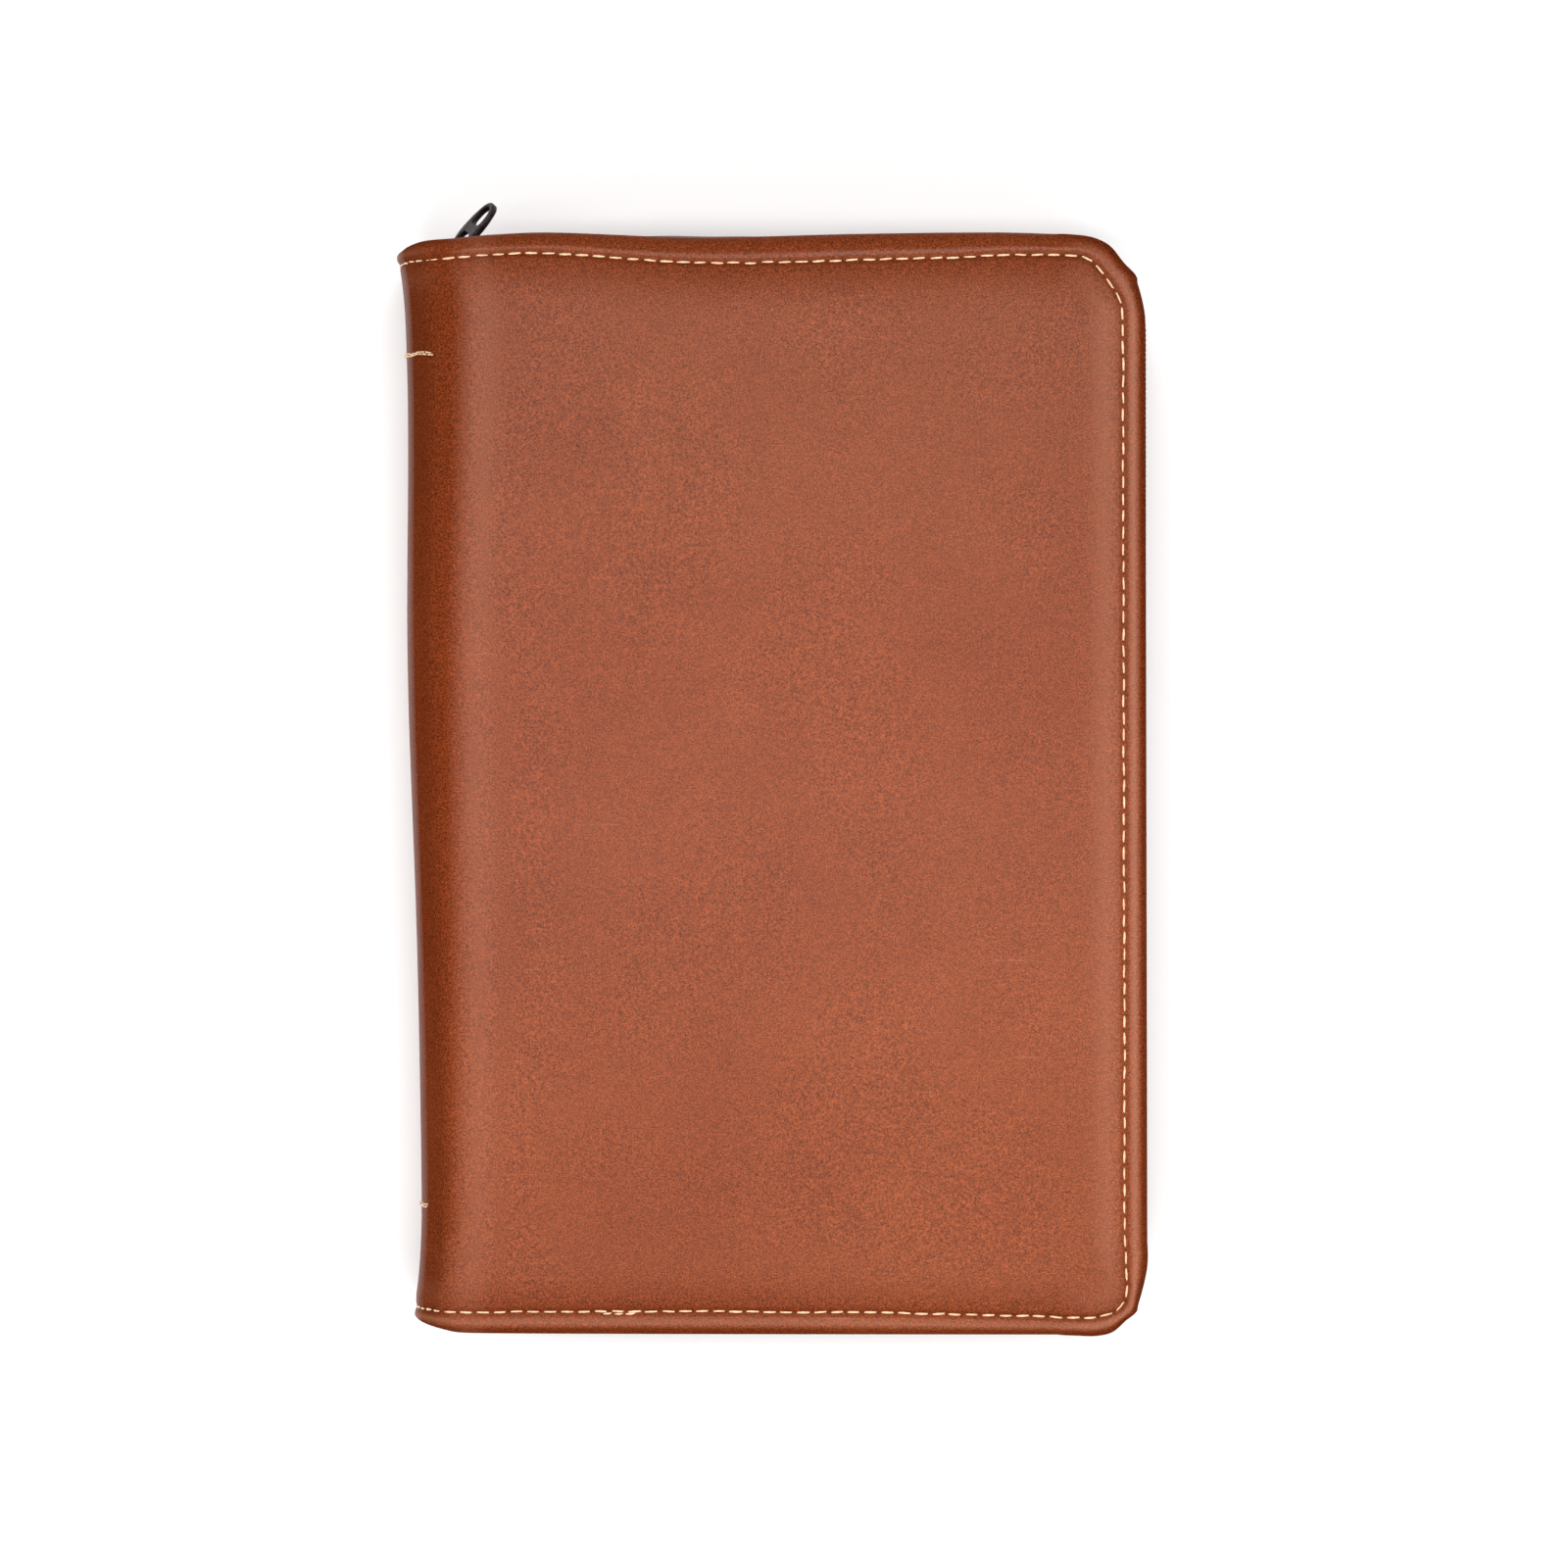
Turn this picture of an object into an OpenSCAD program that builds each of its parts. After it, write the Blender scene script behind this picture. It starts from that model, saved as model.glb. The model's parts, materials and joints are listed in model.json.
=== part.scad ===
// A bible in a zip-around leather case. It lies on its back cover, spine at -X, head at +Y.
// The case is two equal halves joined by a spine panel. Each half is drawn with its outer
// face at z = 0 and its inside upwards, and the front half is that drawing turned over.

/* [Case] */
// Width of the closed case, spine to fore-edge
case_w = 166; // [164:1:172]
// Height of the closed case, head to tail
case_h = 245; // [243:1:251]
// Thickness of the closed case
case_t = 42; // [42:1:46]
// Corner radius at the fore-edge, seen from the front
corner_r = 16; // [15:0.5:18]
// Radius of the rolled edge
roll_r = 6; // [5:0.5:6.5]
// Height of the leather rim round each half
rim_h = 7; // [6.5:0.25:7.5]
// Thickness of the leather
leather_t = 2.2; // [1.8:0.1:2.2]

/* [Spine] */
// Radius of the shoulder between a cover and the spine panel
shoulder_r = 10; // [9:0.5:10]
// How far the spine panel bulges between its two folds
spine_bulge = 2; // [1.5:0.25:2.5]
// Distance of the cross stitching from the head and the tail
tack_inset = 27; // [22:1:32]

/* [Zipper] */
// Distance from one tooth to the next on one tape
tooth_pitch = 2.18; // [2.1:0.02:2.6]
// How much further in the chain runs along the head than along the other edges
head_recess = 5.2; // [5:0.1:5.6]
// Distance of the closed slider from the fold line of the spine
slider_x = 10; // [9.8:0.1:10.6]
// Angle of the pull from the zipper's direction
pull_angle = 48; // [45:1:51]
// Length of the pull from its bar to its tip
pull_len = 11.6; // [11:0.1:16]

/* [Stitching] */
// Distance from one stitch to the next
stitch_pitch = 3.8; // [3.4:0.1:4.4]
// Distance of the stitch line from the edge
stitch_inset = 5.5; // [5.4:0.1:5.8]

/* [Bible] */
// Width of the bible's boards
board_w = 142; // [138:1:142]
// Height of the bible's boards
board_h = 223; // [219:1:223]
// Thickness of the leaves that turn with the front cover
turned_t = 6; // [4:0.5:6]

/* [Hidden] */

$fn = 64;
tiny = 0.05;

// Plan: centres of the corner arcs, and the line where cover meets shoulder.
cx = case_w / 2 - corner_r;
cy = case_h / 2 - corner_r;
chain_cy = cy - head_recess;
fold_x = -case_w / 2 + spine_bulge;
flat_x = fold_x + shoulder_r;
mid_z = case_t / 2;

// Layers of a half, from the outside in.
board_z = 4.1;
board_t = 2.3;
layer_t = 1.15;
flange_z = leather_t + tiny;
lining_z = flange_z + layer_t + tiny;
lining_t = 0.5;
pastedown_z = board_z + board_t + 0.02;
pastedown_t = 0.16;
sleeve_z = pastedown_z + pastedown_t + 0.02;
sleeve_t = 0.8;
sleeve_x = 5;
sleeve_wall = 0.8;
sleeve_r = 4;
rim_t = 2.4;
stitch = [2.6, 0.8, 0.38];

// Zipper, as distances from the corner centres outwards.
tape_t = 0.6;
tape_in = corner_r - 3.1;
chain_at = corner_r - 1.3;
tape_top = mid_z - 1.4;
flange_in = corner_r - 10;
tape_bend = [rim_h, rim_h + 4];
tooth = [0.95, 2.2, 2.25];
tape_start = fold_x + 4;
chain_start = fold_x + slider_x + 6.6;
stop_w = 0.9;

// Bible.
book_dy = -1;
board_x = fold_x + 13;
page_x = fold_x + 9;
page_w = board_w + 1;
page_h = board_h - 5;
page_z = 8;
page_top = case_t - page_z;
block_top = page_top - turned_t;
leaf_t = turned_t / 4;

// Spine panel: an arc through both folds.
span = case_t - 2 * shoulder_r;
panel_r = (span * span / 4 + spine_bulge * spine_bulge) / (2 * spine_bulge);
panel_x = fold_x - spine_bulge + panel_r;
panel_half = asin(span / 2 / panel_r) - 0.3;
book_spine_r = 37.4;
book_spine_x = fold_x + 41;

// Slider and pull.
slider = [11, 9];
plate_t = 1.1;
plate_y = 1.35;
slot_half = 0.55;
flange_t = 0.8;
chain_y = chain_cy + chain_at;
slide_x = fold_x + slider_x;
bridge_half = 3.6;
bridge_w = 1;
pull_y = 4.15;
pull_w = 6.4;
pull_t = 1.4;
pull_tilt = 20;
bar_r = 0.5;
// Clear of the bridge by this much.
bridge_gap = 0.2;

leather_colour = [0.62, 0.33, 0.22];
thread_colour = [0.95, 0.80, 0.62];
tape_colour = [0.40, 0.33, 0.29];
teeth_colour = [0.22, 0.14, 0.11];
metal_colour = [0.20, 0.16, 0.16];
board_colour = [0.20, 0.10, 0.08];
paper_colour = [0.93, 0.90, 0.82];
lining_colour = [0.45, 0.30, 0.22];

// Turns a half over to make the front one.
module front_half() {
    translate([0, 0, case_t]) mirror([0, 0, 1]) children();
}

// Sweeps a profile round head, fore-edge and tail. The profile's x is the distance outwards
// from the corner centres and its y is the height.
module round_edge(head_cy, start) {
    translate([start, head_cy, 0]) rotate([90, 0, 90]) linear_extrude(cx - start) children();
    translate([cx, head_cy, 0]) rotate_extrude(angle = 90) children();
    translate([cx, head_cy, 0]) rotate([90, 0, 0]) linear_extrude(head_cy + cy) children();
    translate([cx, -cy, 0]) rotate([0, 0, -90]) rotate_extrude(angle = 90) children();
    mirror([0, 1, 0]) translate([start, cy, 0]) rotate([90, 0, 90])
        linear_extrude(cx - start) children();
}

// A flat sheet with round corners at the fore-edge, reaching out by the given distance.
module sheet(head_cy, start, reach, t) {
    linear_extrude(t) {
        translate([start, -cy - reach]) square([cx - start, head_cy + cy + 2 * reach]);
        translate([cx - 1, -cy]) square([reach + 1, head_cy + cy]);
        translate([cx, head_cy]) circle(reach);
        translate([cx, -cy]) circle(reach);
    }
}

// Points round the edge: [x, y, direction] at a distance along the line from the head's start.
function along(s, r, head_cy, start) =
    let (head = cx - start, arc = r * PI / 2, side = head_cy + cy)
    s < head ? [start + s, head_cy + r, 0]
    : s < head + arc ? let (a = 90 - (s - head) / r * 180 / PI)
        [cx + r * cos(a), head_cy + r * sin(a), a - 90]
    : s < head + arc + side ? [cx + r, head_cy - (s - head - arc), -90]
    : s < head + 2 * arc + side ? let (a = -(s - head - arc - side) / r * 180 / PI)
        [cx + r * cos(a), -cy + r * sin(a), a - 90]
    : [cx - (s - head - 2 * arc - side), -cy - r, 180];

function run_length(r, head_cy, start, end) =
    2 * cx - start - end + r * PI + head_cy + cy;

// Equal blocks along the edge line.
module row(size, z, pitch, phase, r, head_cy, start, end) {
    for (s = [phase : pitch : run_length(r, head_cy, start, end)]) {
        p = along(s, r, head_cy, start);
        translate([p[0], p[1], z + size[2] / 2]) rotate([0, 0, p[2]]) cube(size, center = true);
    }
}

// A slice of a ring across the spine, bent about an axis along Y.
module arc_strip(x, z, r_out, r_in, half_angle, y0, y1) {
    translate([x, y0, z]) rotate([-90, 0, 0]) rotate([0, 0, 180 - half_angle])
        rotate_extrude(angle = 2 * half_angle) translate([r_in, 0]) square([r_out - r_in, y1 - y0]);
}

// ---- one half of the case ----

module leather_profile() {
    difference() {
        union() {
            square([corner_r - roll_r, leather_t]);
            intersection() {
                translate([corner_r - roll_r, roll_r]) circle(roll_r);
                translate([corner_r - roll_r, 0]) square(roll_r);
            }
            translate([corner_r - rim_t, roll_r - tiny]) square([rim_t, rim_h - roll_r + tiny]);
        }
        translate([-1, leather_t]) square([corner_r - 1.4, 2 * rim_h]);
    }
}

module shoulder(y0, y1, inner_r) {
    translate([flat_x, y1, shoulder_r]) rotate([90, 0, 0]) linear_extrude(y1 - y0)
        intersection() {
            difference() {
                circle(shoulder_r);
                circle(inner_r);
            }
            translate([-shoulder_r, -shoulder_r]) square(shoulder_r);
        }
}

module cover_half() {
    difference() {
        union() {
            translate([flat_x, -cy, 0]) cube([cx - flat_x, 2 * cy, leather_t]);
            round_edge(cy, flat_x) leather_profile();
            shoulder(-case_h / 2, case_h / 2, shoulder_r - leather_t);
            shoulder(case_h / 2 - rim_t, case_h / 2, shoulder_r - rim_h);
            shoulder(-case_h / 2, -case_h / 2 + rim_t, shoulder_r - rim_h);
        }
        round_edge(cy, flat_x + 0.5)
            translate([corner_r - stitch_inset - 0.6, -1]) square([1.2, 1.5]);
    }
}

module stiffener_half() {
    translate([0, 0, flange_z])
        sheet(chain_cy, flat_x + 1, flange_in - 0.2, layer_t);
}

module lining_half() {
    translate([0, 0, lining_z]) sheet(chain_cy, flat_x + 1, tape_in - 0.3, lining_t);
}

// A plate from x0 to x1 with round corners at x1.
module plate(x0, x1, half_h, r, t) {
    linear_extrude(t) {
        translate([x0, -half_h]) square([x1 - r - x0, 2 * half_h]);
        translate([x1 - r - 1, -half_h + r]) square([r + 1, 2 * (half_h - r)]);
        for (side = [-1, 1]) translate([x1 - r, side * (half_h - r)]) circle(r);
    }
}

module sleeve_half() {
    reach = board_h / 2 + 1.9;
    far = board_x + board_w + 1.2;
    foot = lining_z + lining_t + tiny;
    translate([0, book_dy, 0]) difference() {
        translate([0, 0, foot])
            plate(sleeve_x, far + sleeve_wall, reach, sleeve_r, sleeve_z + sleeve_t - foot);
        plate(sleeve_x - 1, far, reach - sleeve_wall, sleeve_r - sleeve_wall, sleeve_z);
    }
}

module tape_profile() {
    polygon([
        [flange_in, flange_z], [tape_in + tape_t, flange_z],
        [tape_in + tape_t, tape_bend[0]], [chain_at + tape_t / 2, tape_bend[1]],
        [chain_at + tape_t / 2, tape_top], [chain_at - tape_t / 2, tape_top],
        [chain_at - tape_t / 2, tape_bend[1]], [tape_in, tape_bend[0]],
        [tape_in, flange_z + layer_t], [flange_in, flange_z + layer_t]
    ]);
}

module tape_half() {
    start = flat_x + 1;
    round_edge(chain_cy, start) tape_profile();
    // seam strip under the head's stitch line
    translate([start, chain_cy + tape_in, flange_z])
        cube([cx - start, case_h / 2 - 3 - chain_cy - tape_in, layer_t]);
    // tape ends that run on past the shoulder
    for (y = [chain_cy + chain_at, -cy - chain_at])
        translate([tape_start, y - tape_t / 2, tape_bend[1]])
            cube([start - tape_start + 1, tape_t, tape_top - tape_bend[1]]);
}

module teeth_half(phase) {
    row(tooth, tape_top + tiny, tooth_pitch, phase, chain_at, chain_cy, chain_start, tape_start + 1);
}

module stops_half() {
    for (y = [chain_cy + chain_at, -cy - chain_at])
        translate([tape_start - stop_w - tiny, y - 1.1, tape_top - 1.6])
            cube([stop_w, 2.2, 2]);
}

module topstitch_half() {
    r = corner_r - stitch_inset;
    row(stitch, 0.08, stitch_pitch, 2.2, r, cy, flat_x + 0.5, flat_x + 2);
    // the line goes on round the shoulder
    for (y = [cy + r, -cy - r], a = [16, 40, 64])
        translate([flat_x, y, shoulder_r]) rotate([0, -a, 0])
            translate([-shoulder_r - 0.22, 0, 0]) cube([stitch[2], stitch[1], stitch[0]], center = true);
    // cross stitching that holds the ends of the zipper
    for (y = [case_h / 2 - tack_inset, -case_h / 2 + tack_inset], a = [14, 32, 50])
        translate([flat_x, y, shoulder_r]) rotate([0, -a, 0])
            translate([-shoulder_r - 0.22, 0, 0]) cube([stitch[2], stitch[1], stitch[0]], center = true);
}

module board_half() {
    translate([board_x, book_dy - board_h / 2, board_z]) cube([board_w, board_h, board_t]);
}

module pastedown_half() {
    translate([board_x + 1, book_dy - board_h / 2 + 2, pastedown_z])
        cube([board_w - 3, board_h - 4, pastedown_t]);
}

// ---- nodes ----

module back_cover_leather() { color(leather_colour) cover_half(); }
module back_stiffener() { color(board_colour) stiffener_half(); }
module back_lining() { color(lining_colour) lining_half(); }
module back_sleeve() { color(lining_colour) sleeve_half(); }
module back_topstitching() { color(thread_colour) topstitch_half(); }
module zipper_tape_back() { color(tape_colour) tape_half(); }
module zipper_teeth_back() { color(teeth_colour) teeth_half(tooth_pitch / 2); }
module zipper_stops_back() { color(metal_colour) stops_half(); }

module front_cover_leather() { color(leather_colour) front_half() cover_half(); }
module front_stiffener() { color(board_colour) front_half() stiffener_half(); }
module front_lining() { color(lining_colour) front_half() lining_half(); }
module front_sleeve() { color(lining_colour) front_half() sleeve_half(); }
module front_topstitching() { color(thread_colour) front_half() topstitch_half(); }
module zipper_tape_front() { color(tape_colour) front_half() tape_half(); }
module zipper_teeth_front() { color(teeth_colour) front_half() teeth_half(0); }
module zipper_stops_front() { color(metal_colour) front_half() stops_half(); }

module spine_leather() {
    color(leather_colour)
        arc_strip(panel_x, mid_z, panel_r, panel_r - leather_t, panel_half,
                  -case_h / 2, case_h / 2);
}

module spine_stiffener() {
    outer = panel_r - leather_t - tiny;
    color(board_colour)
        arc_strip(panel_x, mid_z, outer, outer - 0.8, panel_half - 3, -cy, cy);
}

module spine_lining() {
    outer = panel_r - leather_t - 0.8 - 2 * tiny;
    color(lining_colour)
        arc_strip(panel_x, mid_z, outer, outer - 0.5, panel_half - 1, -cy - 8, cy + 8);
}

module zip_tab(y0, y1) {
    outer = panel_r - leather_t - 1.3 - 3 * tiny;
    color(leather_colour)
        arc_strip(panel_x, mid_z, outer, outer - 0.8, panel_half - 5, y0, y1);
}

module head_zip_tab() { zip_tab(case_h / 2 - tack_inset + 2, case_h / 2 - 9); }
module tail_zip_tab() { zip_tab(-case_h / 2 + 9, -case_h / 2 + tack_inset - 2); }

module tack_stitches(y) {
    color(thread_colour)
        for (a = [-15, -7.5, 0, 7.5, 15])
            translate([panel_x, y, mid_z]) rotate([0, a, 0])
                translate([-panel_r - 0.24, 0, 0]) cube([stitch[2], stitch[1], stitch[0]], center = true);
}

module head_tack_stitches() { tack_stitches(case_h / 2 - tack_inset); }
module tail_tack_stitches() { tack_stitches(-case_h / 2 + tack_inset); }

// Body of the slider: two plates, a wedge between them and lips that leave a slot for the tape.
module zipper_slider() {
    lip = plate_y - slot_half;
    color(metal_colour) translate([slide_x, chain_y, mid_z]) {
        for (side = [-1, 1]) {
            translate([-slider[0] / 2, side > 0 ? plate_y : -plate_y - plate_t, -slider[1] / 2])
                cube([slider[0], plate_t, slider[1]]);
            for (edge = [-1, 1])
                translate([-slider[0] / 2, side > 0 ? slot_half : -plate_y,
                           edge > 0 ? slider[1] / 2 - flange_t : -slider[1] / 2])
                    cube([slider[0], lip, flange_t]);
        }
        translate([-slider[0] / 2 + 2, plate_y, 0]) rotate([90, 0, 0])
            cylinder(h = 2 * plate_y, r = 1);
        // bridge that holds the pull
        for (end = [-1, 1])
            translate([end * (bridge_half - bridge_w / 2) - bridge_w / 2,
                       plate_y + plate_t, -bridge_w])
                cube([bridge_w, pull_y + 1.3 - plate_y - plate_t, 2 * bridge_w]);
        translate([-bridge_half, pull_y + 0.7, -bridge_w])
            cube([2 * bridge_half, 0.6, 2 * bridge_w]);
    }
}

// Outline of the pull: a frame round the bridge, a web and a long eye.
module pull_outline() {
    tip_r = 2.1;
    window = norm([bridge_half, 1.3]) + bridge_gap;
    difference() {
        union() {
            translate([0, -pull_w / 2]) square([window + 1, pull_w]);
            translate([window + 1, 0]) circle(pull_w / 2);
            translate([pull_len - tip_r, 0]) circle(tip_r);
            polygon([
                [window + 1, pull_w / 2], [pull_len - tip_r + 0.5, tip_r],
                [pull_len - tip_r + 0.5, -tip_r], [window + 1, -pull_w / 2]
            ]);
        }
        translate([-tiny, -bridge_w - 0.7]) square([window, 2 * bridge_w + 1.4]);
        translate([window + 2.6, 0]) circle(1.3);
        translate([pull_len - tip_r - 0.2, 0]) circle(1);
        polygon([
            [window + 2.6, 1.3], [pull_len - tip_r - 0.2, 1],
            [pull_len - tip_r - 0.2, -1], [window + 2.6, -1.3]
        ]);
    }
}

module zipper_pull() {
    color(metal_colour) translate([slide_x, chain_y + pull_y, mid_z])
        rotate([0, 0, pull_angle]) rotate([pull_tilt, 0, 0]) {
            translate([0, pull_t / 2, 0]) rotate([90, 0, 0]) linear_extrude(pull_t) pull_outline();
            translate([0, 0, -pull_w / 2]) cylinder(h = pull_w, r = bar_r);
        }
}

// ---- bible ----

module bible_back_board() { color(board_colour) board_half(); }
module bible_front_board() { color(board_colour) front_half() board_half(); }
module back_pastedown() { color(paper_colour) pastedown_half(); }
module front_pastedown() { color(paper_colour) front_half() pastedown_half(); }

module bible_spine() {
    color(board_colour)
        arc_strip(book_spine_x, mid_z, book_spine_r, book_spine_r - 1.8, 17.5,
                  book_dy - board_h / 2, book_dy + board_h / 2);
}

module text_block() {
    color(paper_colour)
        translate([page_x, book_dy - page_h / 2, page_z])
            cube([page_w, page_h, block_top - page_z - tiny]);
}

module spine_mull() {
    color(lining_colour)
        translate([page_x - 0.55, book_dy - page_h / 2 + 8, page_z + 0.5])
            cube([0.5, page_h - 16, block_top - page_z - 1]);
}

module end_band(y) {
    color(thread_colour)
        translate([page_x + 0.2, y, page_z + 0.5]) cylinder(h = block_top - page_z - 1, r = 0.9);
}

module head_band() { end_band(book_dy + page_h / 2 + 0.95); }
module tail_band() { end_band(book_dy - page_h / 2 - 0.95); }

module leaves(n) {
    color(paper_colour)
        translate([page_x, book_dy - page_h / 2, block_top + (n - 1) * leaf_t])
            cube([page_w, page_h, leaf_t - tiny]);
}

module leaves_1() { leaves(1); }
module leaves_2() { leaves(2); }
module leaves_3() { leaves(3); }
module leaves_4() { leaves(4); }

back_cover_leather();
back_stiffener();
back_lining();
back_sleeve();
back_topstitching();
zipper_tape_back();
zipper_teeth_back();
zipper_stops_back();
spine_leather();
spine_stiffener();
spine_lining();
head_zip_tab();
tail_zip_tab();
head_tack_stitches();
tail_tack_stitches();
front_cover_leather();
front_stiffener();
front_lining();
front_sleeve();
front_topstitching();
zipper_tape_front();
zipper_teeth_front();
zipper_stops_front();
zipper_slider();
zipper_pull();
bible_back_board();
bible_front_board();
bible_spine();
back_pastedown();
front_pastedown();
text_block();
spine_mull();
head_band();
tail_band();
leaves_1();
leaves_2();
leaves_3();
leaves_4();
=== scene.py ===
"""A bible in a tan zip-around leather case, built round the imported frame.

Lengths in the code are millimetres in the frame's own axes: X from spine to fore-edge,
Y from tail to head, Z up. MM turns them into metres when a mesh is made.
A "depth" is a distance inwards from a cover's outer face: the front half counts it
down from the top of the case, the back half up from the table.
"""
import json
import math
import random

import bmesh
import bpy
import numpy as np
from mathutils import Matrix, Vector, noise


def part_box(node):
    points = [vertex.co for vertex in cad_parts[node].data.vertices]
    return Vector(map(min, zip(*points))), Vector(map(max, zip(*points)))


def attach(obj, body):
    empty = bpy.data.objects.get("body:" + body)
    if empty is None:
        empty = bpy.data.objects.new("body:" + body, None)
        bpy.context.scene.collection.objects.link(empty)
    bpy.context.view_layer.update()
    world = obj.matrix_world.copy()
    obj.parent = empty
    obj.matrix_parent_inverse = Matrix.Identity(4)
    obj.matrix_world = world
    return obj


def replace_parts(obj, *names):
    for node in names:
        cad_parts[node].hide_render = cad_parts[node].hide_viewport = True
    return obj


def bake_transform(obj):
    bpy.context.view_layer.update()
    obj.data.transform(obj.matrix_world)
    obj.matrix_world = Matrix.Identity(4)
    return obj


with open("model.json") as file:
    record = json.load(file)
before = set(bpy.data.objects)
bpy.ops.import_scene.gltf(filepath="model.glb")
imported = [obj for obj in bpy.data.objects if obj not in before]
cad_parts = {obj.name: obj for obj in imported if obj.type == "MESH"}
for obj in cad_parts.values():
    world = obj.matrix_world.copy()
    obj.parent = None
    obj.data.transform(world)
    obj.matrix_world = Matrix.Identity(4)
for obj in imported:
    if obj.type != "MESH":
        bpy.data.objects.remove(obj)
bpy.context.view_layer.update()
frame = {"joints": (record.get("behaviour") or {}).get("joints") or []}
MM = 0.001


def box_mm(node):
    lo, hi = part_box(node)
    return lo / MM, hi / MM


# ---- measures taken from the frame ----
COVER_LO, COVER_HI = box_mm("front_cover_leather")
CASE_T = COVER_HI.z
MID = CASE_T / 2
FORE_X = COVER_HI.x
HEAD_Y = COVER_HI.y
TAIL_Y = COVER_LO.y
TACK_Y = sum(p.y for p in box_mm("head_tack_stitches")) / 2
JOINTS = {j["name"]: j for j in frame["joints"]}

# ---- shape of the leather ----
STRIP = 20.0  # width of the worked border, from the edge inwards
SPINE_A = 11.6  # how far the spine's curve reaches in under the cover
ROLL_R = 4.0  # radius of the rolled edge
RIM_D = 6.2  # depth at which the rim turns under
TURN_R = 0.85
PLATE_D = 0.32  # the panel lies this far below the top of the roll
STITCH = 3.8  # stitch pitch
LEATHER_T = 0.8
FORE_SEAM = 5.1  # distance of the stitch line from the edge, along the fore-edge


def smooth(t):
    t = np.clip(t, 0.0, 1.0)
    return t * t * (3 - 2 * t)


def through(points, x):
    """A smooth curve through a few points (Catmull-Rom), held level past its ends."""
    if x <= points[0][0]:
        return points[0][1]
    if x >= points[-1][0]:
        return points[-1][1]
    i = max(k for k in range(len(points) - 1) if points[k][0] <= x)
    p = [points[min(max(k, 0), len(points) - 1)] for k in range(i - 1, i + 3)]
    h = p[2][0] - p[1][0]
    t = (x - p[1][0]) / h
    m1 = h * (p[2][1] - p[0][1]) / (p[2][0] - p[0][0])
    m2 = h * (p[3][1] - p[1][1]) / (p[3][0] - p[1][0])
    return (
        (2 * t**3 - 3 * t**2 + 1) * p[1][1]
        + (t**3 - 2 * t**2 + t) * m1
        + (3 * t**2 - 2 * t**3) * p[2][1]
        + (t**3 - t**2) * m2
    )


# The case was made and filled by hand, so its edges wander from the plan by a millimetre or
# two: how far in from the frame's edge each lies.
HEAD_IN = [(-84, 2.6), (-83, 2.0), (-81, 1.55), (-78, 1.4), (-73, 1.2), (-63, 0.3), (-50, -0.2),
           (-18, 0.9), (20, 0.1), (50, -0.2), (66, 0.2), (84, 0.2)]
TAIL_IN = [(-84, 2.4), (-78, 0.9), (-71, 0.1), (-64, -0.1), (0, -0.3), (84, -0.4)]


def left_edge(y):
    """The spine leans in towards the tail, and flares out at both ends."""
    lean = 3.4 * smooth((48 - y) / 150)
    flare = 2.1 * math.exp(-max(117 - y, 0) / 9) + 1.5 * math.exp(-max(y + 115, 0) / 9)
    return -82.4 + lean - flare


def head_edge(x):
    return HEAD_Y - through(HEAD_IN, x)


def tail_edge(x):
    return TAIL_Y + through(TAIL_IN, x)


def fore_edge(y):
    return FORE_X - 0.1 + 0.5 * (HEAD_Y - y) / (HEAD_Y - TAIL_Y)


def axis_x(y):
    """Where the panel ends and the rounded spine begins."""
    return left_edge(y) + SPINE_A


# Distance of the stitch line from the edge.
HEAD_SEAM = [(-84, 4.0), (-83, 4.3), (-81, 4.6), (-78, 4.65), (-73, 4.5), (-54, 4.7), (-8, 5.9),
             (37, 5.7), (59, 4.9), (66, 5.0)]
TAIL_SEAM = [(-83, 3.3), (-76, 4.4), (-40, 5.1), (20, 5.0), (60, 4.2), (66, 4.0)]


# The two outer corners are pleated by hand over the filling. Seen from the border's inner corner,
# how far the outline and the stitch line lie in each direction, from 0 degrees (towards the
# fore-edge) to 90 (towards head or tail).
OUTLINE = {
    "head": [(0, 20.0), (15, 20.0), (27, 20.4), (30, 20.9), (42, 20.4), (56, 21.2), (66, 21.0),
             (78, 20.3), (90, 20.0)],
    "tail": [(0, 20.0), (14, 20.6), (25, 21.2), (36, 22.3), (40, 23.1), (48, 22.75), (58, 23.0),
             (66, 22.2), (78, 20.7), (90, 20.0)],
}
SEAM_LINE = {
    "head": [(0, 14.9), (19, 15.2), (34, 15.0), (50, 15.4), (65, 16.0), (78, 15.5), (90, 15.0)],
    "tail": [(0, 14.9), (20, 16.2), (38, 19.2), (45, 19.7), (52, 19.2), (66, 17.6), (78, 16.4),
             (90, 16.0)],
}


def spine_curve():
    """The cross-section of the spine, from the cover's edge to mid-height: a tight shoulder,
    then a nearly straight side. Arrays over 0..1 of the way: distance in X, depth, tilt."""
    t = np.linspace(0, 1, 401)

    def shape(a):
        tilt = a * smooth(t / 0.34) + (math.pi / 2 - a) * t**1.6
        step = np.diff(t)
        mid_tilt = (tilt[1:] + tilt[:-1]) / 2
        x = np.concatenate([[0], np.cumsum(np.cos(mid_tilt) * step)])
        d = np.concatenate([[0], np.cumsum(np.sin(mid_tilt) * step)])
        return tilt, x, d

    low, high = 0.0, 1.4
    for _ in range(40):
        a = (low + high) / 2
        tilt, x, d = shape(a)
        if x[-1] / d[-1] > SPINE_A / MID:
            low = a
        else:
            high = a
    return t, x * MID / d[-1], d * MID / d[-1], tilt


SPINE_T, SPINE_X, SPINE_D, SPINE_TILT = spine_curve()
CROWN = 0.9  # the padding falls away by this much towards the spine

# steps of the border's rows over the spine, the head or tail, the fore-edge and each corner
SPINE_STEPS = 30
FLAT_STEPS = 140
FORE_STEPS = 216
CORNER_STEPS = 34


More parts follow.
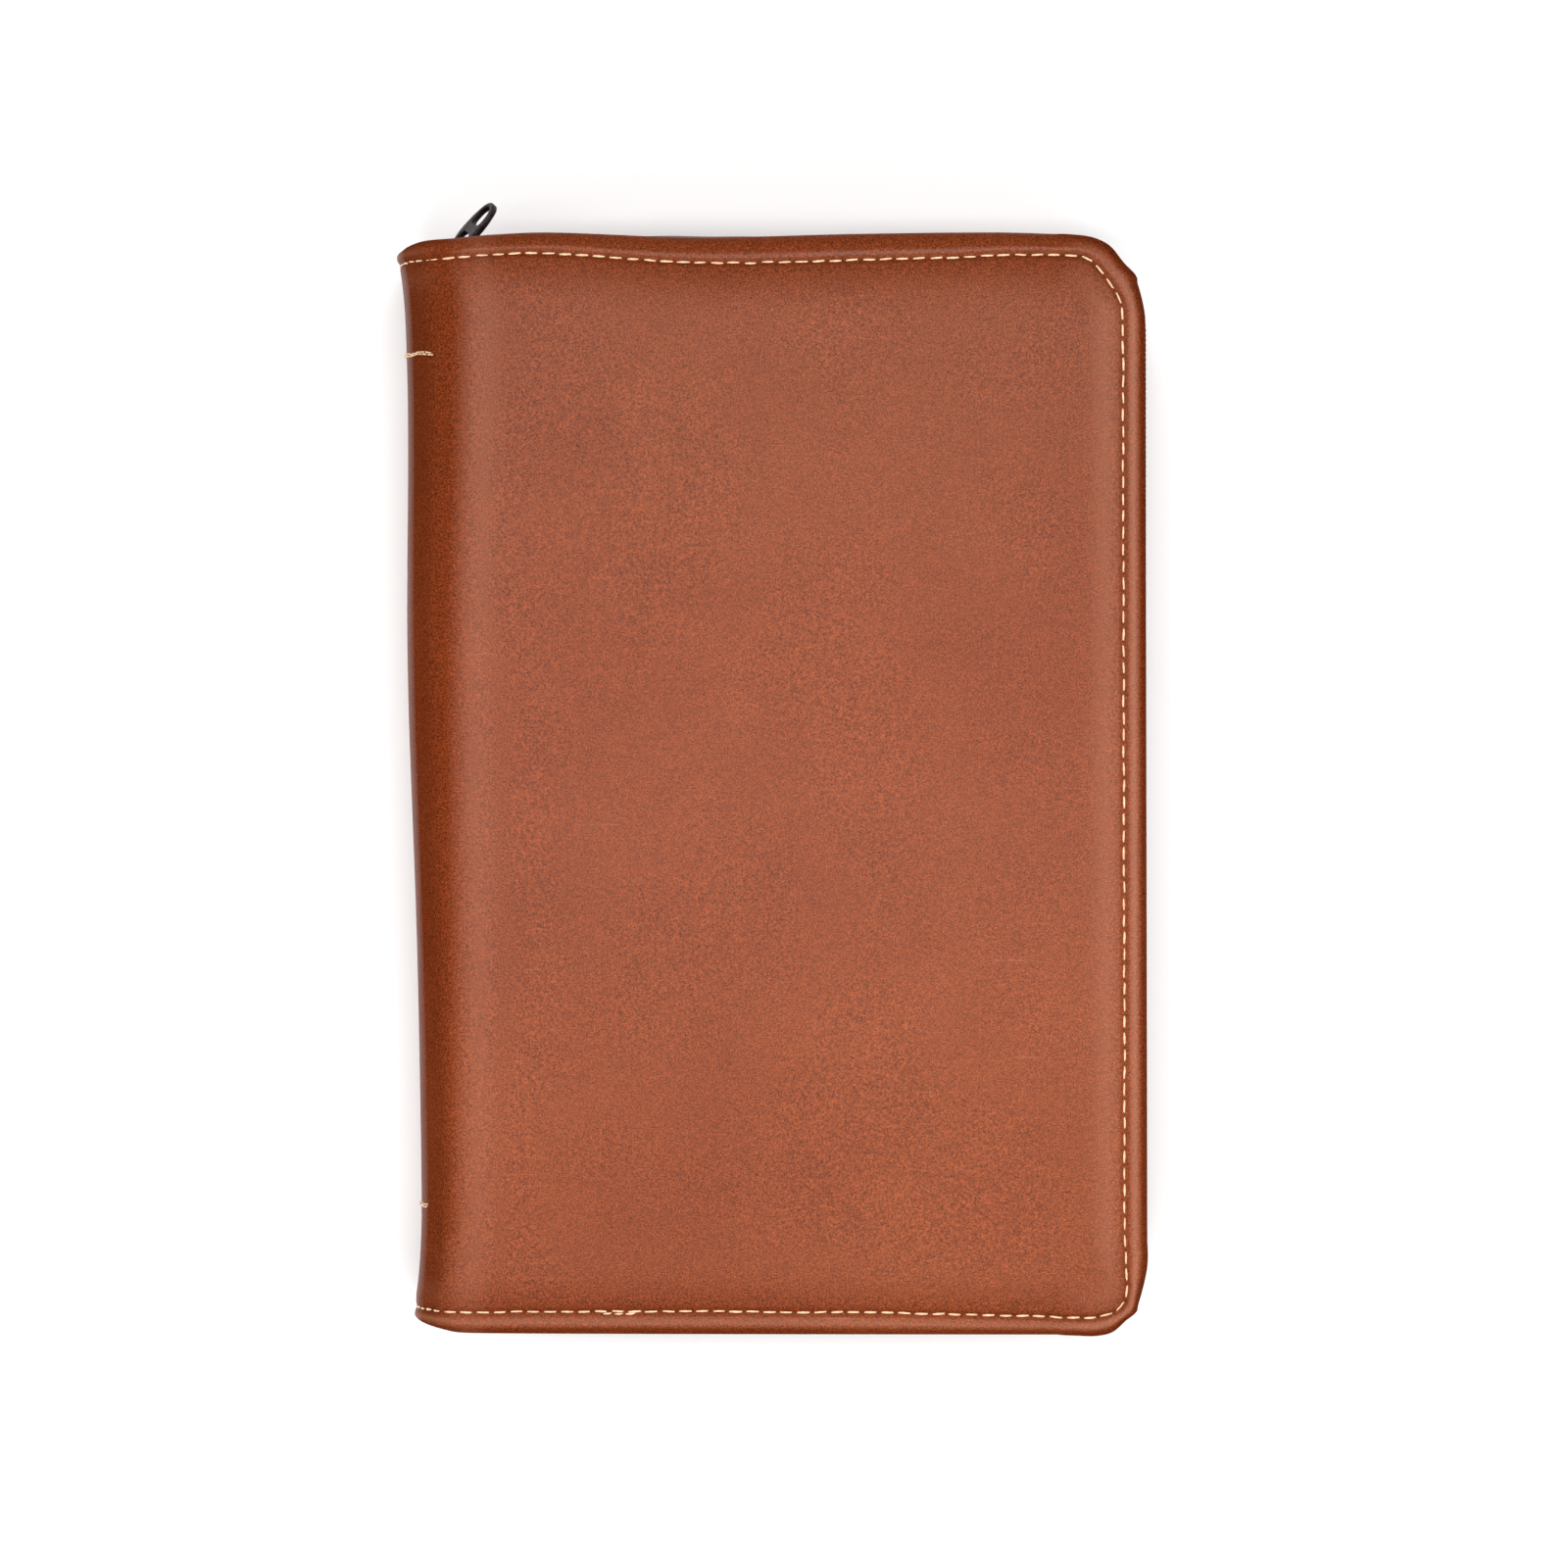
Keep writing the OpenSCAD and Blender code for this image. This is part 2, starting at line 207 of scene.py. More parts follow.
def section(u, y, depth):
    """A point of the cross-section: u from -1 (middle of the spine) over 0 (start of the panel)
    to 1 (border at the fore-edge). Returns x and depth."""
    x0 = axis_x(y)
    if u >= 0:
        x = x0 + u * (fore_edge(y) - STRIP - x0)
        return x, depth + CROWN * math.exp(-(x - x0) / 8)
    tilt = np.interp(-u, SPINE_T, SPINE_TILT)
    # deeper than the shoulder's radius, the rows would cross: they are kept apart there
    tight = smooth(-u / 0.06) * (1 - smooth((-u - 0.2) / 0.7))
    lean = depth - 0.6 * tight * max(depth - 3.0, 0.0)
    x = x0 - np.interp(-u, SPINE_T, SPINE_X) + lean * math.sin(tilt)
    crown = CROWN * (1 - smooth(-u / 0.6))
    return x, np.interp(-u, SPINE_T, SPINE_D) + depth * math.cos(tilt) + crown * math.cos(tilt)


def outward(u):
    """The outer face's direction there, as (x, towards the outer face)."""
    if u >= 0:
        return 0.0, 1.0
    tilt = np.interp(-u, SPINE_T, SPINE_TILT)
    return -math.sin(tilt), math.cos(tilt)


def spine_x(y, z):
    """The leather's outer face on the spine, at a height."""
    return axis_x(y) - np.interp(MID - abs(z - MID), SPINE_D, SPINE_X)


def unevenness(x, y):
    """Gentle waves in the panel."""
    slow = noise.noise(Vector((x * 0.021, y * 0.017, 3.1)))
    quick = noise.noise(Vector((x * 0.09, y * 0.08, 7.7)))
    return 0.26 * slow + 0.05 * quick


def profile(seam, pull=1.0):
    """Border profile: (distance from the inner line, depth, share of unevenness) from the panel to
    the edge, round the roll and back up inside. seam is where the stitch line lies, and pull is how
    hard the thread draws it down."""
    inset = STRIP - seam
    k = min(1.0, inset / 5.0)
    crest = seam + 0.42 * inset
    before = [(seam - 1.6) * (1 - (1 - f / 7) ** 1.4) for f in range(7)]
    near = [seam + k * d for d in (-1.2, -0.8, -0.4, 0.0, 0.4, 0.8, 1.2)]
    after = [near[-1] + (crest - near[-1]) * f for f in (0.4, 0.75)]
    points = []
    for t in before + near + after:
        gap = (t - seam) / k
        groove = pull * (0.60 * math.exp(-(gap / 0.7) ** 2) + 0.34 * math.exp(-(gap / 2.6) ** 2))
        fall = 1 - smooth((t - seam) / (crest - seam))
        points.append((t, PLATE_D * fall + groove, 1 - smooth(t / seam)))
    for i in range(9):
        a = i / 8 * math.pi / 2
        points.append((crest + (STRIP - crest) * math.sin(a), ROLL_R * (1 - math.cos(a)), 0))
    points.append((STRIP, (ROLL_R + RIM_D) / 2, 0))
    for i in range(7):
        a = i / 6 * math.pi
        points.append((STRIP - TURN_R + TURN_R * math.cos(a), RIM_D + TURN_R * math.sin(a), 0))
    points.append((STRIP - 2 * TURN_R - 0.05, RIM_D - 1.6, 0))
    points.append((STRIP - 2 * TURN_R - 0.1, RIM_D - 3.0, 0))
    return points


# points of the profile: on the stitch line, at the start of the roll and on the outline
SEAM_J = 7 + 3
ROLL_J = 7 + 7 + 2
EDGE_J = ROLL_J + 8


class Shell:
    """The worked border of one cover, as rows of points: border[i][j] is point j of the profile
    at step i from the spine along the head, round the fore-edge and back along the tail."""

    def __init__(self):
        self.u = [-1 + k / SPINE_STEPS for k in range(SPINE_STEPS)]
        self.u += [k / FLAT_STEPS for k in range(FLAT_STEPS + 1)]
        self.border = []
        self.normals = []
        for u in self.u:
            self.straight(u, +1)
        self.corner("head")
        y0, y1 = self.inner_y()
        for k in range(1, FORE_STEPS):
            self.fore(y1 + (y0 - y1) * k / FORE_STEPS)
        self.corner("tail")
        for u in reversed(self.u):
            self.straight(u, -1)
        self.pucker()

    def inner_y(self):
        """Where the fore-edge's border ends, at the tail and at the head."""
        x_head = section(1.0, HEAD_Y, 0)[0]
        x_tail = section(1.0, TAIL_Y, 0)[0]
        return tail_edge(x_tail) + STRIP, head_edge(x_head) - STRIP

    def straight(self, u, side):
        if side > 0:
            x_edge = section(u, HEAD_Y - 4, 0)[0]
            edge, seam = head_edge(x_edge), through(HEAD_SEAM, x_edge)
        else:
            x_edge = section(u, TAIL_Y + 4, 0)[0]
            edge, seam = tail_edge(x_edge), through(TAIL_SEAM, x_edge)
        row = []
        for t, d, share in profile(STRIP - seam, 1 - 0.75 * float(smooth(-u * 1.6))):
            y = edge - side * (STRIP - t)
            x, depth = section(u, y, d)
            row.append((x, y, depth - share * unevenness(x, y) * (u >= 0)))
        self.border.append(row)
        self.normals.append((outward(u)[0], 0.0, outward(u)[1]))

    def corner(self, which):
        side = 1 if which == "head" else -1
        low, high = self.inner_y()
        y = high if side > 0 else low
        x = section(1.0, y, 0)[0]
        for k in range(1, CORNER_STEPS + 1):
            a = k / CORNER_STEPS * math.pi / 2
            if side > 0:
                a = math.pi / 2 - a
            if k == CORNER_STEPS and side < 0:
                break
            degrees = math.degrees(a)
            reach = through(OUTLINE[which], degrees)
            inset = reach - through(SEAM_LINE[which], degrees)
            row = []
            for t, d, share in profile(STRIP - inset):
                r = t + (reach - STRIP) * smooth(t / (STRIP - 6))
                px, py = x + r * math.cos(a), y + side * r * math.sin(a)
                row.append((px, py, d - share * unevenness(px, py)))
            self.border.append(row)
            self.normals.append((0.0, 0.0, 1.0))

    def fore(self, y):
        row = []
        for t, d, share in profile(STRIP - FORE_SEAM):
            x = fore_edge(y) - STRIP + t
            row.append((x, y, d - share * unevenness(x, y)))
        self.border.append(row)
        self.normals.append((0.0, 0.0, 1.0))

    def seam_line(self):
        return [Vector(row[SEAM_J]) for row in self.border]

    def pucker(self):
        """The thread pulls the leather down at each needle hole."""
        line = self.seam_line()
        run = 0.0
        for i, row in enumerate(self.border):
            if i:
                run += (line[i] - line[i - 1]).length
            pull = 0.5 + 0.5 * math.cos(2 * math.pi * run / STITCH)
            n = self.normals[i]
            for j in range(SEAM_J - 3, SEAM_J + 4):
                fall = math.exp(-((j - SEAM_J) / 1.6) ** 2)
                down = 0.30 * pull * fall - 0.06 * (1 - pull) * abs(j - SEAM_J) / 3
                x, y, d = row[j]
                row[j] = (x - down * n[0], y, d + down * n[2])


SHELL = Shell()


def to_z(depth, front):
    return CASE_T - depth if front else depth


def in_scene(name, data):
    obj = bpy.data.objects.new(name, data)
    bpy.context.scene.collection.objects.link(obj)
    return obj


def new_object(name, verts, faces, body=None, material=None, replaces=()):
    """A mesh piece from points in millimetres."""
    mesh = bpy.data.meshes.new(name)
    mesh.from_pydata([tuple(c * MM for c in v) for v in verts], [], faces)
    mesh.validate()
    mesh.update()
    obj = in_scene(name, mesh)
    mesh.polygons.foreach_set("use_smooth", [True] * len(mesh.polygons))
    for m in material if isinstance(material, (list, tuple)) else [material]:
        if m is not None:
            mesh.materials.append(m)
    if body:
        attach(obj, body)
    if replaces:
        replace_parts(obj, *replaces)
    return obj


def thicken(obj, thickness, offset):
    """Gives a surface its thickness: offset -1 is inwards of it, 0 is to both sides."""
    solid = obj.modifiers.new("thickness", "SOLIDIFY")
    solid.thickness = thickness * MM
    solid.offset = offset
    return solid


def grid(rows, columns):
    """Faces of a net of points, given row by row as (rows + 1) * (columns + 1) points."""
    w = columns + 1
    return [(a, a + 1, a + w + 1, a + w) for i in range(rows) for a in range(i * w, i * w + columns)]


def flipped(faces):
    return [tuple(reversed(f)) for f in faces]


def closed(rings, n):
    """Faces of a closed form made of rings of n points, with a flat end at each side."""
    faces = [(r * n + k, r * n + (k + 1) % n, (r + 1) * n + (k + 1) % n, (r + 1) * n + k)
             for r in range(rings - 1) for k in range(n)]
    return faces + [tuple(reversed(range(n))), tuple((rings - 1) * n + k for k in range(n))]


def only_used(faces, *lists):
    """Leaves out the points that no face uses: the new faces, and each list cut down to match."""
    used = sorted({v for f in faces for v in f})
    order = {v: k for k, v in enumerate(used)}
    return [[tuple(order[v] for v in f) for f in faces]] + [[values[v] for v in used] for values in lists]


def merged(mesh, distance, front=None):
    """Joins points that lie together. front turns the faces up or down."""
    bm = bmesh.new()
    bm.from_mesh(mesh)
    bmesh.ops.remove_doubles(bm, verts=bm.verts, dist=distance * MM)
    if front is not None:
        up = sum(f.normal.z * f.calc_area() for f in bm.faces)
        if (up > 0) != front:
            bmesh.ops.reverse_faces(bm, faces=bm.faces)
    bm.to_mesh(mesh)
    bm.free()
    return mesh


def corner_point(x, y, lo, hi, r):
    """Pulls a point of a rectangle's net round its two corners at the fore-edge."""
    for side, cy in ((1, hi.y - r), (-1, lo.y + r)):
        dx, dy = x - (hi.x - r), side * (y - cy)
        if dx > 0 and dy > 0:
            k = max(dx, dy) / math.hypot(dx, dy)
            return hi.x - r + dx * k, cy + side * dy * k
    return x, y


# ---- materials ----

class Surface:
    """A principled material. Its textures read the object's own coordinates, in metres."""

    def __init__(self, name, **sockets):
        self.data = bpy.data.materials.new(name)
        self.data.use_nodes = True
        self.tree = self.data.node_tree
        self.shader = self.tree.nodes["Principled BSDF"]
        self.at = self.place()
        self.set(**sockets)

    def link(self, value, socket):
        """Gives a socket a number, a colour or another node's output."""
        if isinstance(value, (int, float)):
            socket.default_value = value
        elif isinstance(value, tuple):
            socket.default_value = (*value, 1)
        else:
            self.tree.links.new(value, socket)

    def set(self, **sockets):
        """Sets the shader's sockets, with _ for the spaces in their names."""
        for name, value in sockets.items():
            self.link(value, self.shader.inputs[name.replace("_", " ")])
        return self.data

    def add(self, kind, **values):
        node = self.tree.nodes.new(kind)
        for key, value in values.items():
            if key in node.inputs:
                node.inputs[key].default_value = value
            else:
                setattr(node, key, value)
        return node

    def place(self, scale=(1, 1, 1)):
        coords = self.add("ShaderNodeTexCoord")
        mapping = self.add("ShaderNodeMapping", Scale=scale)
        self.link(coords.outputs["Object"], mapping.inputs["Vector"])
        return mapping.outputs["Vector"]

    def attribute(self, name):
        return self.add("ShaderNodeAttribute", attribute_name=name).outputs["Fac"]

    def noise(self, scale, detail=2.0, rough=0.5, at=None):
        n = self.add("ShaderNodeTexNoise", Scale=scale, Detail=detail, Roughness=rough)
        self.link(self.at if at is None else at, n.inputs["Vector"])
        return n.outputs["Fac"]

    def cracks(self, scale, at=None):
        """Low along the borders of small cells."""
        n = self.add("ShaderNodeTexVoronoi", feature="DISTANCE_TO_EDGE", Scale=scale)
        self.link(self.at if at is None else at, n.inputs["Vector"])
        return n.outputs["Distance"]

    def ramp(self, value, *stops):
        """A colour ramp. Each stop is a position with a colour or a grey."""
        r = self.add("ShaderNodeValToRGB")
        while len(r.color_ramp.elements) < len(stops):
            r.color_ramp.elements.new(0.5)
        for e, (position, colour) in zip(r.color_ramp.elements, stops):
            e.position = position
            e.color = (*colour, 1) if isinstance(colour, tuple) else (colour, colour, colour, 1)
        self.link(value, r.inputs["Fac"])
        return r.outputs["Color"]

    def mix(self, a, b, factor, mode="MIX"):
        m = self.add("ShaderNodeMix", data_type="RGBA", blend_type=mode)
        for socket, value in ((6, a), (7, b), (0, factor)):
            self.link(value, m.inputs[socket])
        return m.outputs[2]

    def times(self, a, b):
        return self.mix(a, b, 1.0, "MULTIPLY")

    def bump(self, height, strength, distance, normal=None):
        b = self.add("ShaderNodeBump", Strength=strength, Distance=distance)
        self.link(height, b.inputs["Height"])
        if normal is not None:
            self.link(normal, b.inputs["Normal"])
        return b.outputs["Normal"]


LEATHER_DARK = (0.200, 0.0420, 0.0124)
LEATHER_LIGHT = (0.228, 0.0525, 0.0166)
# tint of the painted shade, and the colour of pale scuffs and of painted highlights
SHADE_TINT = (0.56, 0.44, 0.36)
SCUFF_AND_HIGHLIGHT = (0.42, 0.18, 0.11)


def leather():
    s = Surface("case_leather")
    cloud = s.noise(60, 5, 0.65)
    fine = s.noise(3000, 2, 0.7)
    grain = s.noise(1500, 3, 0.65)
    base = s.ramp(s.noise(11, 3, 0.55), (0.36, LEATHER_DARK), (0.64, LEATHER_LIGHT))
    base = s.times(base, s.ramp(cloud, (0.3, 0.96), (0.7, 1.04)))
    base = s.times(base, s.ramp(fine, (0.32, 0.45), (0.68, 1.55)))
    base = s.times(base, s.ramp(grain, (0.32, 0.76), (0.68, 1.24)))
    # painted shade: darker towards the head, and a little towards the tail
    axes = s.add("ShaderNodeSeparateXYZ")
    s.link(s.at, axes.inputs["Vector"])
    reach = s.add("ShaderNodeMapRange")
    reach.inputs["From Min"].default_value = -0.125
    reach.inputs["From Max"].default_value = 0.125
    s.link(axes.outputs["Y"], reach.inputs["Value"])
    length = reach.outputs["Result"]
    base = s.times(base, s.ramp(length, (0.0, 0.89), (0.25, 0.93), (0.60, 0.93), (0.80, 0.81),
                                (0.93, 0.78)))
    # a small dark fleck here and there, then the painted shade and the painted highlights
    base = s.times(base, s.ramp(s.noise(700, 0, 0.4), (0.09, 0.35), (0.10, 1.0)))
    painted_shade = s.attribute("painted_shade")
    base = s.mix(base, s.times(base, SHADE_TINT), painted_shade)
    base = s.mix(base, SCUFF_AND_HIGHLIGHT, s.ramp(s.attribute("painted_highlight"), (0.0, 0.0), (1.0, 0.4)))
    # pale scuffs: short fine lines inside soft patches
    scratch = s.noise(1.0, 1, 0.5, s.place((40, 900, 40)))
    patch = s.ramp(s.noise(30, 3, 0.6), (0.55, 0.0), (0.75, 1.0))
    base = s.mix(base, SCUFF_AND_HIGHLIGHT, s.times(s.ramp(scratch, (0.74, 0.0), (0.78, 0.5)), patch))
    # less gloss where the shade is painted
    gloss = s.ramp(painted_shade, (0.0, 0.26), (0.62, 0.0))
    gloss = s.times(gloss, s.ramp(length, (0.05, 0.6), (0.45, 1.0)))
    # pores and short creases of the grain
    warp = s.add("ShaderNodeVectorMath", operation="ADD")
    wobble = s.add("ShaderNodeTexNoise", Scale=260, Detail=2)
    shift = s.add("ShaderNodeVectorMath", operation="SCALE", Scale=0.0012)
    s.link(s.at, wobble.inputs["Vector"])
    s.link(wobble.outputs["Color"], shift.inputs[0])
    s.link(s.at, warp.inputs[0])
    s.link(shift.outputs["Vector"], warp.inputs[1])
    crease = s.ramp(s.cracks(1000, warp.outputs["Vector"]), (0.0, 0.0), (0.16, 1.0))
    n = s.bump(crease, 0.30, 0.00008)
    n = s.bump(grain, 0.45, 0.00012, n)
    n = s.bump(fine, 0.30, 0.00008, n)
    s.set(Specular_IOR_Level=0.2)
    return s.set(Base_Color=base, Roughness=s.ramp(cloud, (0.3, 0.36), (0.7, 0.46)),
                 Specular_IOR_Level=gloss, Normal=n)


def thread(name, light, dark):
    s = Surface(name, Roughness=0.62, Sheen_Weight=0.3)
    colour = s.ramp(s.noise(900, 3, 0.6), (0.3, dark), (0.7, light))
    return s.set(Base_Color=colour, Normal=s.bump(s.noise(5200, 2, 0.6), 0.5, 0.00005))


# painted shade: the near-black colour of the needle holes stands in for the shade inside them
def needle_hole_shade():
    s = Surface("needle_hole_shade", Roughness=0.9)
    return s.set(Base_Color=s.ramp(s.noise(1400, 1, 0.5), (0.3, (0.035, 0.010, 0.005)),
                                   (0.7, (0.09, 0.026, 0.012))))


def woven(name, light, dark, pitch, rough=0.85, strength=0.6):
    """Plain weave of the given thread pitch, in millimetres."""
    s = Surface(name, Roughness=rough, Sheen_Weight=0.25)
    waves = []
    for direction in ("X", "Y", "Z"):
        w = s.add("ShaderNodeTexWave", wave_type="BANDS", bands_direction=direction,
                  Scale=2 * math.pi / (20 * pitch * MM), Distortion=0.6, Detail=1.0)
        w.inputs["Detail Scale"].default_value = 2.0
        s.link(s.at, w.inputs["Vector"])
        waves.append(w.outputs["Fac"])
    height = s.mix(s.mix(waves[0], waves[1], 0.5), waves[2], 0.4)
    # the colour follows the weave's height: painted shade between the threads, mixed with random tone
    tone = s.mix(height, s.noise(300, 3, 0.6), 0.45)
    return s.set(Base_Color=s.ramp(tone, (0.25, dark), (0.75, light)),
                 Normal=s.bump(height, strength, 0.00015))


def gunmetal():
    s = Surface("gunmetal", Metallic=0.8)
    worn = s.noise(900, 4, 0.7)
    colour = s.ramp(worn, (0.42, (0.020, 0.010, 0.011)), (0.62, (0.045, 0.030, 0.031)),
                    (0.74, (0.22, 0.18, 0.18)))
    return s.set(Base_Color=colour, Roughness=s.ramp(worn, (0.35, 0.34), (0.7, 0.52)),
                 Normal=s.bump(worn, 0.4, 0.00008))


def moulded():
    s = Surface("zipper_teeth", Roughness=0.42)
    tone = s.noise(700, 3, 0.6)
    return s.set(Base_Color=s.ramp(tone, (0.3, (0.045, 0.016, 0.010)), (0.7, (0.10, 0.038, 0.024))),
                 Normal=s.bump(tone, 0.2, 0.00004))


def paper(name, light, dark):
    """Thin printing paper, with its leaves showing as fine lines on the cut edges."""
    s = Surface(name, Roughness=0.85)
    lines = s.noise(1.0, 2, 0.7, s.place((6, 6, 9000)))
    tone = s.mix(s.noise(120, 3, 0.6), lines, 0.6)
    return s.set(Base_Color=s.ramp(tone, (0.3, dark), (0.65, light)),
                 Normal=s.bump(lines, 0.35, 0.00008))


def book_cover():
    s = Surface("book_cover")
    tone = s.noise(60, 4, 0.6)
    crease = s.ramp(s.cracks(750), (0.0, 0.0), (0.2, 1.0))
    return s.set(Base_Color=s.ramp(tone, (0.3, (0.022, 0.009, 0.007)), (0.7, (0.046, 0.020, 0.015))),
                 Roughness=s.ramp(tone, (0.3, 0.42), (0.7, 0.58)),
                 Normal=s.bump(crease, 0.5, 0.0001))


def greyboard():
    s = Surface("greyboard", Roughness=0.95)
    tone = s.noise(500, 4, 0.7)
    return s.set(Base_Color=s.ramp(tone, (0.3, (0.22, 0.17, 0.12)), (0.7, (0.34, 0.27, 0.20))),
                 Normal=s.bump(tone, 0.3, 0.0001))


LEATHER = leather()
THREAD = thread("thread", (0.88, 0.62, 0.40), (0.62, 0.38, 0.21))
HOLE_SHADE = needle_hole_shade()
TAPE = woven("zipper_tape", (0.165, 0.120, 0.100), (0.075, 0.052, 0.042), 0.45)
LINING = woven("lining_cloth", (0.150, 0.075, 0.045), (0.070, 0.032, 0.019), 0.6)
METAL = gunmetal()
TEETH = moulded()
PAPER = paper("bible_paper", (0.58, 0.54, 0.455), (0.47, 0.43, 0.345))
ENDPAPER = paper("endpaper", (0.44, 0.40, 0.32), (0.35, 0.31, 0.24))
BOOK = book_cover()
CARD = greyboard()
MULL = woven("mull", (0.74, 0.68, 0.56), (0.46, 0.40, 0.30), 1.1, 0.95, 0.9)
BAND = thread("end_band", (0.78, 0.60, 0.22), (0.34, 0.05, 0.04))


# ---- leather ----

def tone_at(j, reach, out):
    """How much painted shade and painted highlight the border gets at point j of the profile. The shade
    lies in the stitch groove, beside the stitches at head and tail, on the head's rim and on the roll's
    outer edge. The highlight lies on the roll's crest and inside the stitches at the fore-edge. reach
    is the distance from the stitch line, and out the direction that the edge faces."""
    fore, head, tail = max(out.x, 0.0), max(out.y, 0.0), max(-out.y, 0.0)
    dark = 0.30 * math.exp(-((j - SEAM_J) / 1.3) ** 2)
    if j <= SEAM_J:
        dark += 0.55 * head * math.exp(-(reach / 7) ** 2) + 0.5 * tail * math.exp(-(reach / 5) ** 2)
        return dark, 0.4 * fore * math.exp(-((reach - 4) / 2.5) ** 2)
    dark += 0.6 * head * float(smooth((j - SEAM_J - 3) / 3))
    dark += (0.95 * fore + 0.85 * tail) * float(smooth((j - ROLL_J - 1) / 3))
    return min(dark, 1.0), (0.9 * fore + 0.5 * tail) * math.exp(-((j - ROLL_J + 0.5) / 2) ** 2)


def shoulder_at(u, x, y):
    """Painted shade over the shoulder, where the hide is bent most, and a painted highlight beside it."""
    inside = x - (axis_x(y) - 0.7 + 0.025 * y)
    dark = 0.72 * (1 - float(smooth((inside + 3.7) / 7.4)))
    if u < -0.3:
        dark -= 0.28 * float(smooth((-0.3 - u) / 0.7))
    return dark, 0.22 * math.exp(-((inside - 5.0) / 3.5) ** 2)


def leather_half(name, front):
    """One half of the hide: the worked border, and the panel and half the spine inside it."""
    rows = SHELL.border
    width = len(rows[0])
    verts, tones = [], []
    last = len(rows) - 1
    n_u = len(SHELL.u)
    # the front piece's end is tucked behind the back piece's at mid-spine
    tuck = 0.25 if front else 0.0
    for i, row in enumerate(rows):
        column = min(i, last - i)
        over = shoulder_at(SHELL.u[column], *row[SEAM_J][:2]) if column < n_u else (0.0, 0.0)
        seam_at = Vector(row[SEAM_J][:2])
        out = (Vector(row[EDGE_J][:2]) - seam_at).normalized()
        lap = tuck if column == 0 else 0.0
        for j, (x, y, d) in enumerate(row):
            verts.append((x + lap / 2, y, to_z(d + lap, front)))
            # painted shade and painted highlight, from the border's profile and from the shoulder
            tone = tone_at(j, (Vector((x, y)) - seam_at).length, out)
            tones.append((max(tone[0], over[0]), max(tone[1], over[1])))
    faces = grid(len(rows) - 1, width - 1)
    # the panel and the spine, between the head's and the tail's borders
    n_v = FORE_STEPS // 2
    columns = []
    for c, u in enumerate(SHELL.u):
        y_head, y_tail = rows[c][0][1], rows[last - c][0][1]
        column = [c * width]
        for k in range(1, n_v):
            v = k / n_v
            y = y_head + (y_tail - y_head) * v
            x, d = section(u, y, PLATE_D)
            d -= unevenness(x, y) * (u >= 0)
            ends = smooth(v * 14) * smooth((1 - v) * 14)
            lap = tuck if c == 0 else 0.0
            # the spine's side waves a little, but not where it meets the borders
            x -= 0.15 * math.sin(y * 0.06) * float(smooth(-u)) * ends
            column.append(len(verts))
            verts.append((x + lap / 2, y, to_z(d + lap, front)))
            tones.append(shoulder_at(u, x, y))
        column.append((last - c) * width)
        columns.append(column)
    for c in range(n_u - 2):
        for k in range(n_v):
            faces.append((columns[c][k], columns[c + 1][k], columns[c + 1][k + 1], columns[c][k + 1]))
    # the last column is the fore-edge border itself, which has two steps for each of the panel's
    first = n_u - 1 + CORNER_STEPS
    side = [(first + k) * width for k in range(FORE_STEPS)]
    side.append((last - (n_u - 1)) * width)
    before = columns[n_u - 2]
    for k in range(n_v):
        faces.append((before[k], side[2 * k], side[2 * k + 1], side[2 * k + 2], before[k + 1]))
    faces, verts, tones = only_used(faces, verts, tones)
    if not front:
        faces = flipped(faces)
    obj = new_object(name, verts, faces, material=LEATHER)
    # the painted shade and the painted highlight, kept as point attributes
    for k, label in enumerate(("painted_shade", "painted_highlight")):
        mark = obj.data.attributes.new(label, "FLOAT", "POINT")
        mark.data.foreach_set("value", [tone[k] for tone in tones])
    merged(obj.data, 0.02, front)
    thicken(obj, LEATHER_T, -1).use_even_offset = False
    return obj


def fold(piece):
    """Bakes the piece's placement into its points."""
    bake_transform(piece)


FRONT_LEATHER = leather_half("front_leather", True)
fold(FRONT_LEATHER)
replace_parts(FRONT_LEATHER, "front_cover_leather", "spine_leather")
BACK_LEATHER = leather_half("back_leather", False)
fold(BACK_LEATHER)
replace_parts(BACK_LEATHER, "back_cover_leather")


# ---- stitches ----

class Line:
    """A polyline that can be read at any distance along it."""

    def __init__(self, points, normals=None):
        self.p = [Vector(q) for q in points]
        self.n = [Vector(q) for q in normals] if normals else None
        self.at = [0.0]
        for a, b in zip(self.p, self.p[1:]):
            self.at.append(self.at[-1] + (b - a).length)

    @property
    def length(self):
        return self.at[-1]

    def _find(self, s):
        s = min(max(s, 0.0), self.length - 1e-6)
        i = int(np.searchsorted(self.at, s, side="right")) - 1
        i = min(i, len(self.p) - 2)
        span = self.at[i + 1] - self.at[i]
        return i, (s - self.at[i]) / span if span else 0.0

    def point(self, s):
        i, t = self._find(s)
        return self.p[i].lerp(self.p[i + 1], t)

    def normal(self, s):
        i, t = self._find(s)
        return self.n[i].lerp(self.n[i + 1], t).normalized()


def tube(points, radii, sides=8, twist=0.0, ply=0.0):
    """A closed round tube along points."""
    verts = []
    n = len(points)
    up = Vector((0.1, 0.2, 1)).normalized()
    for i, p in enumerate(points):
        d = (points[min(i + 1, n - 1)] - points[max(i - 1, 0)]).normalized()
        a = d.cross(up).normalized()
        b = a.cross(d).normalized()
        for k in range(sides):
            th = 2 * math.pi * k / sides
            r = radii[i] * (1 + ply * math.cos(2 * th - twist * i))
            verts.append(p + (a * math.cos(th) + b * math.sin(th)) * r)
    return verts, closed(n, sides)


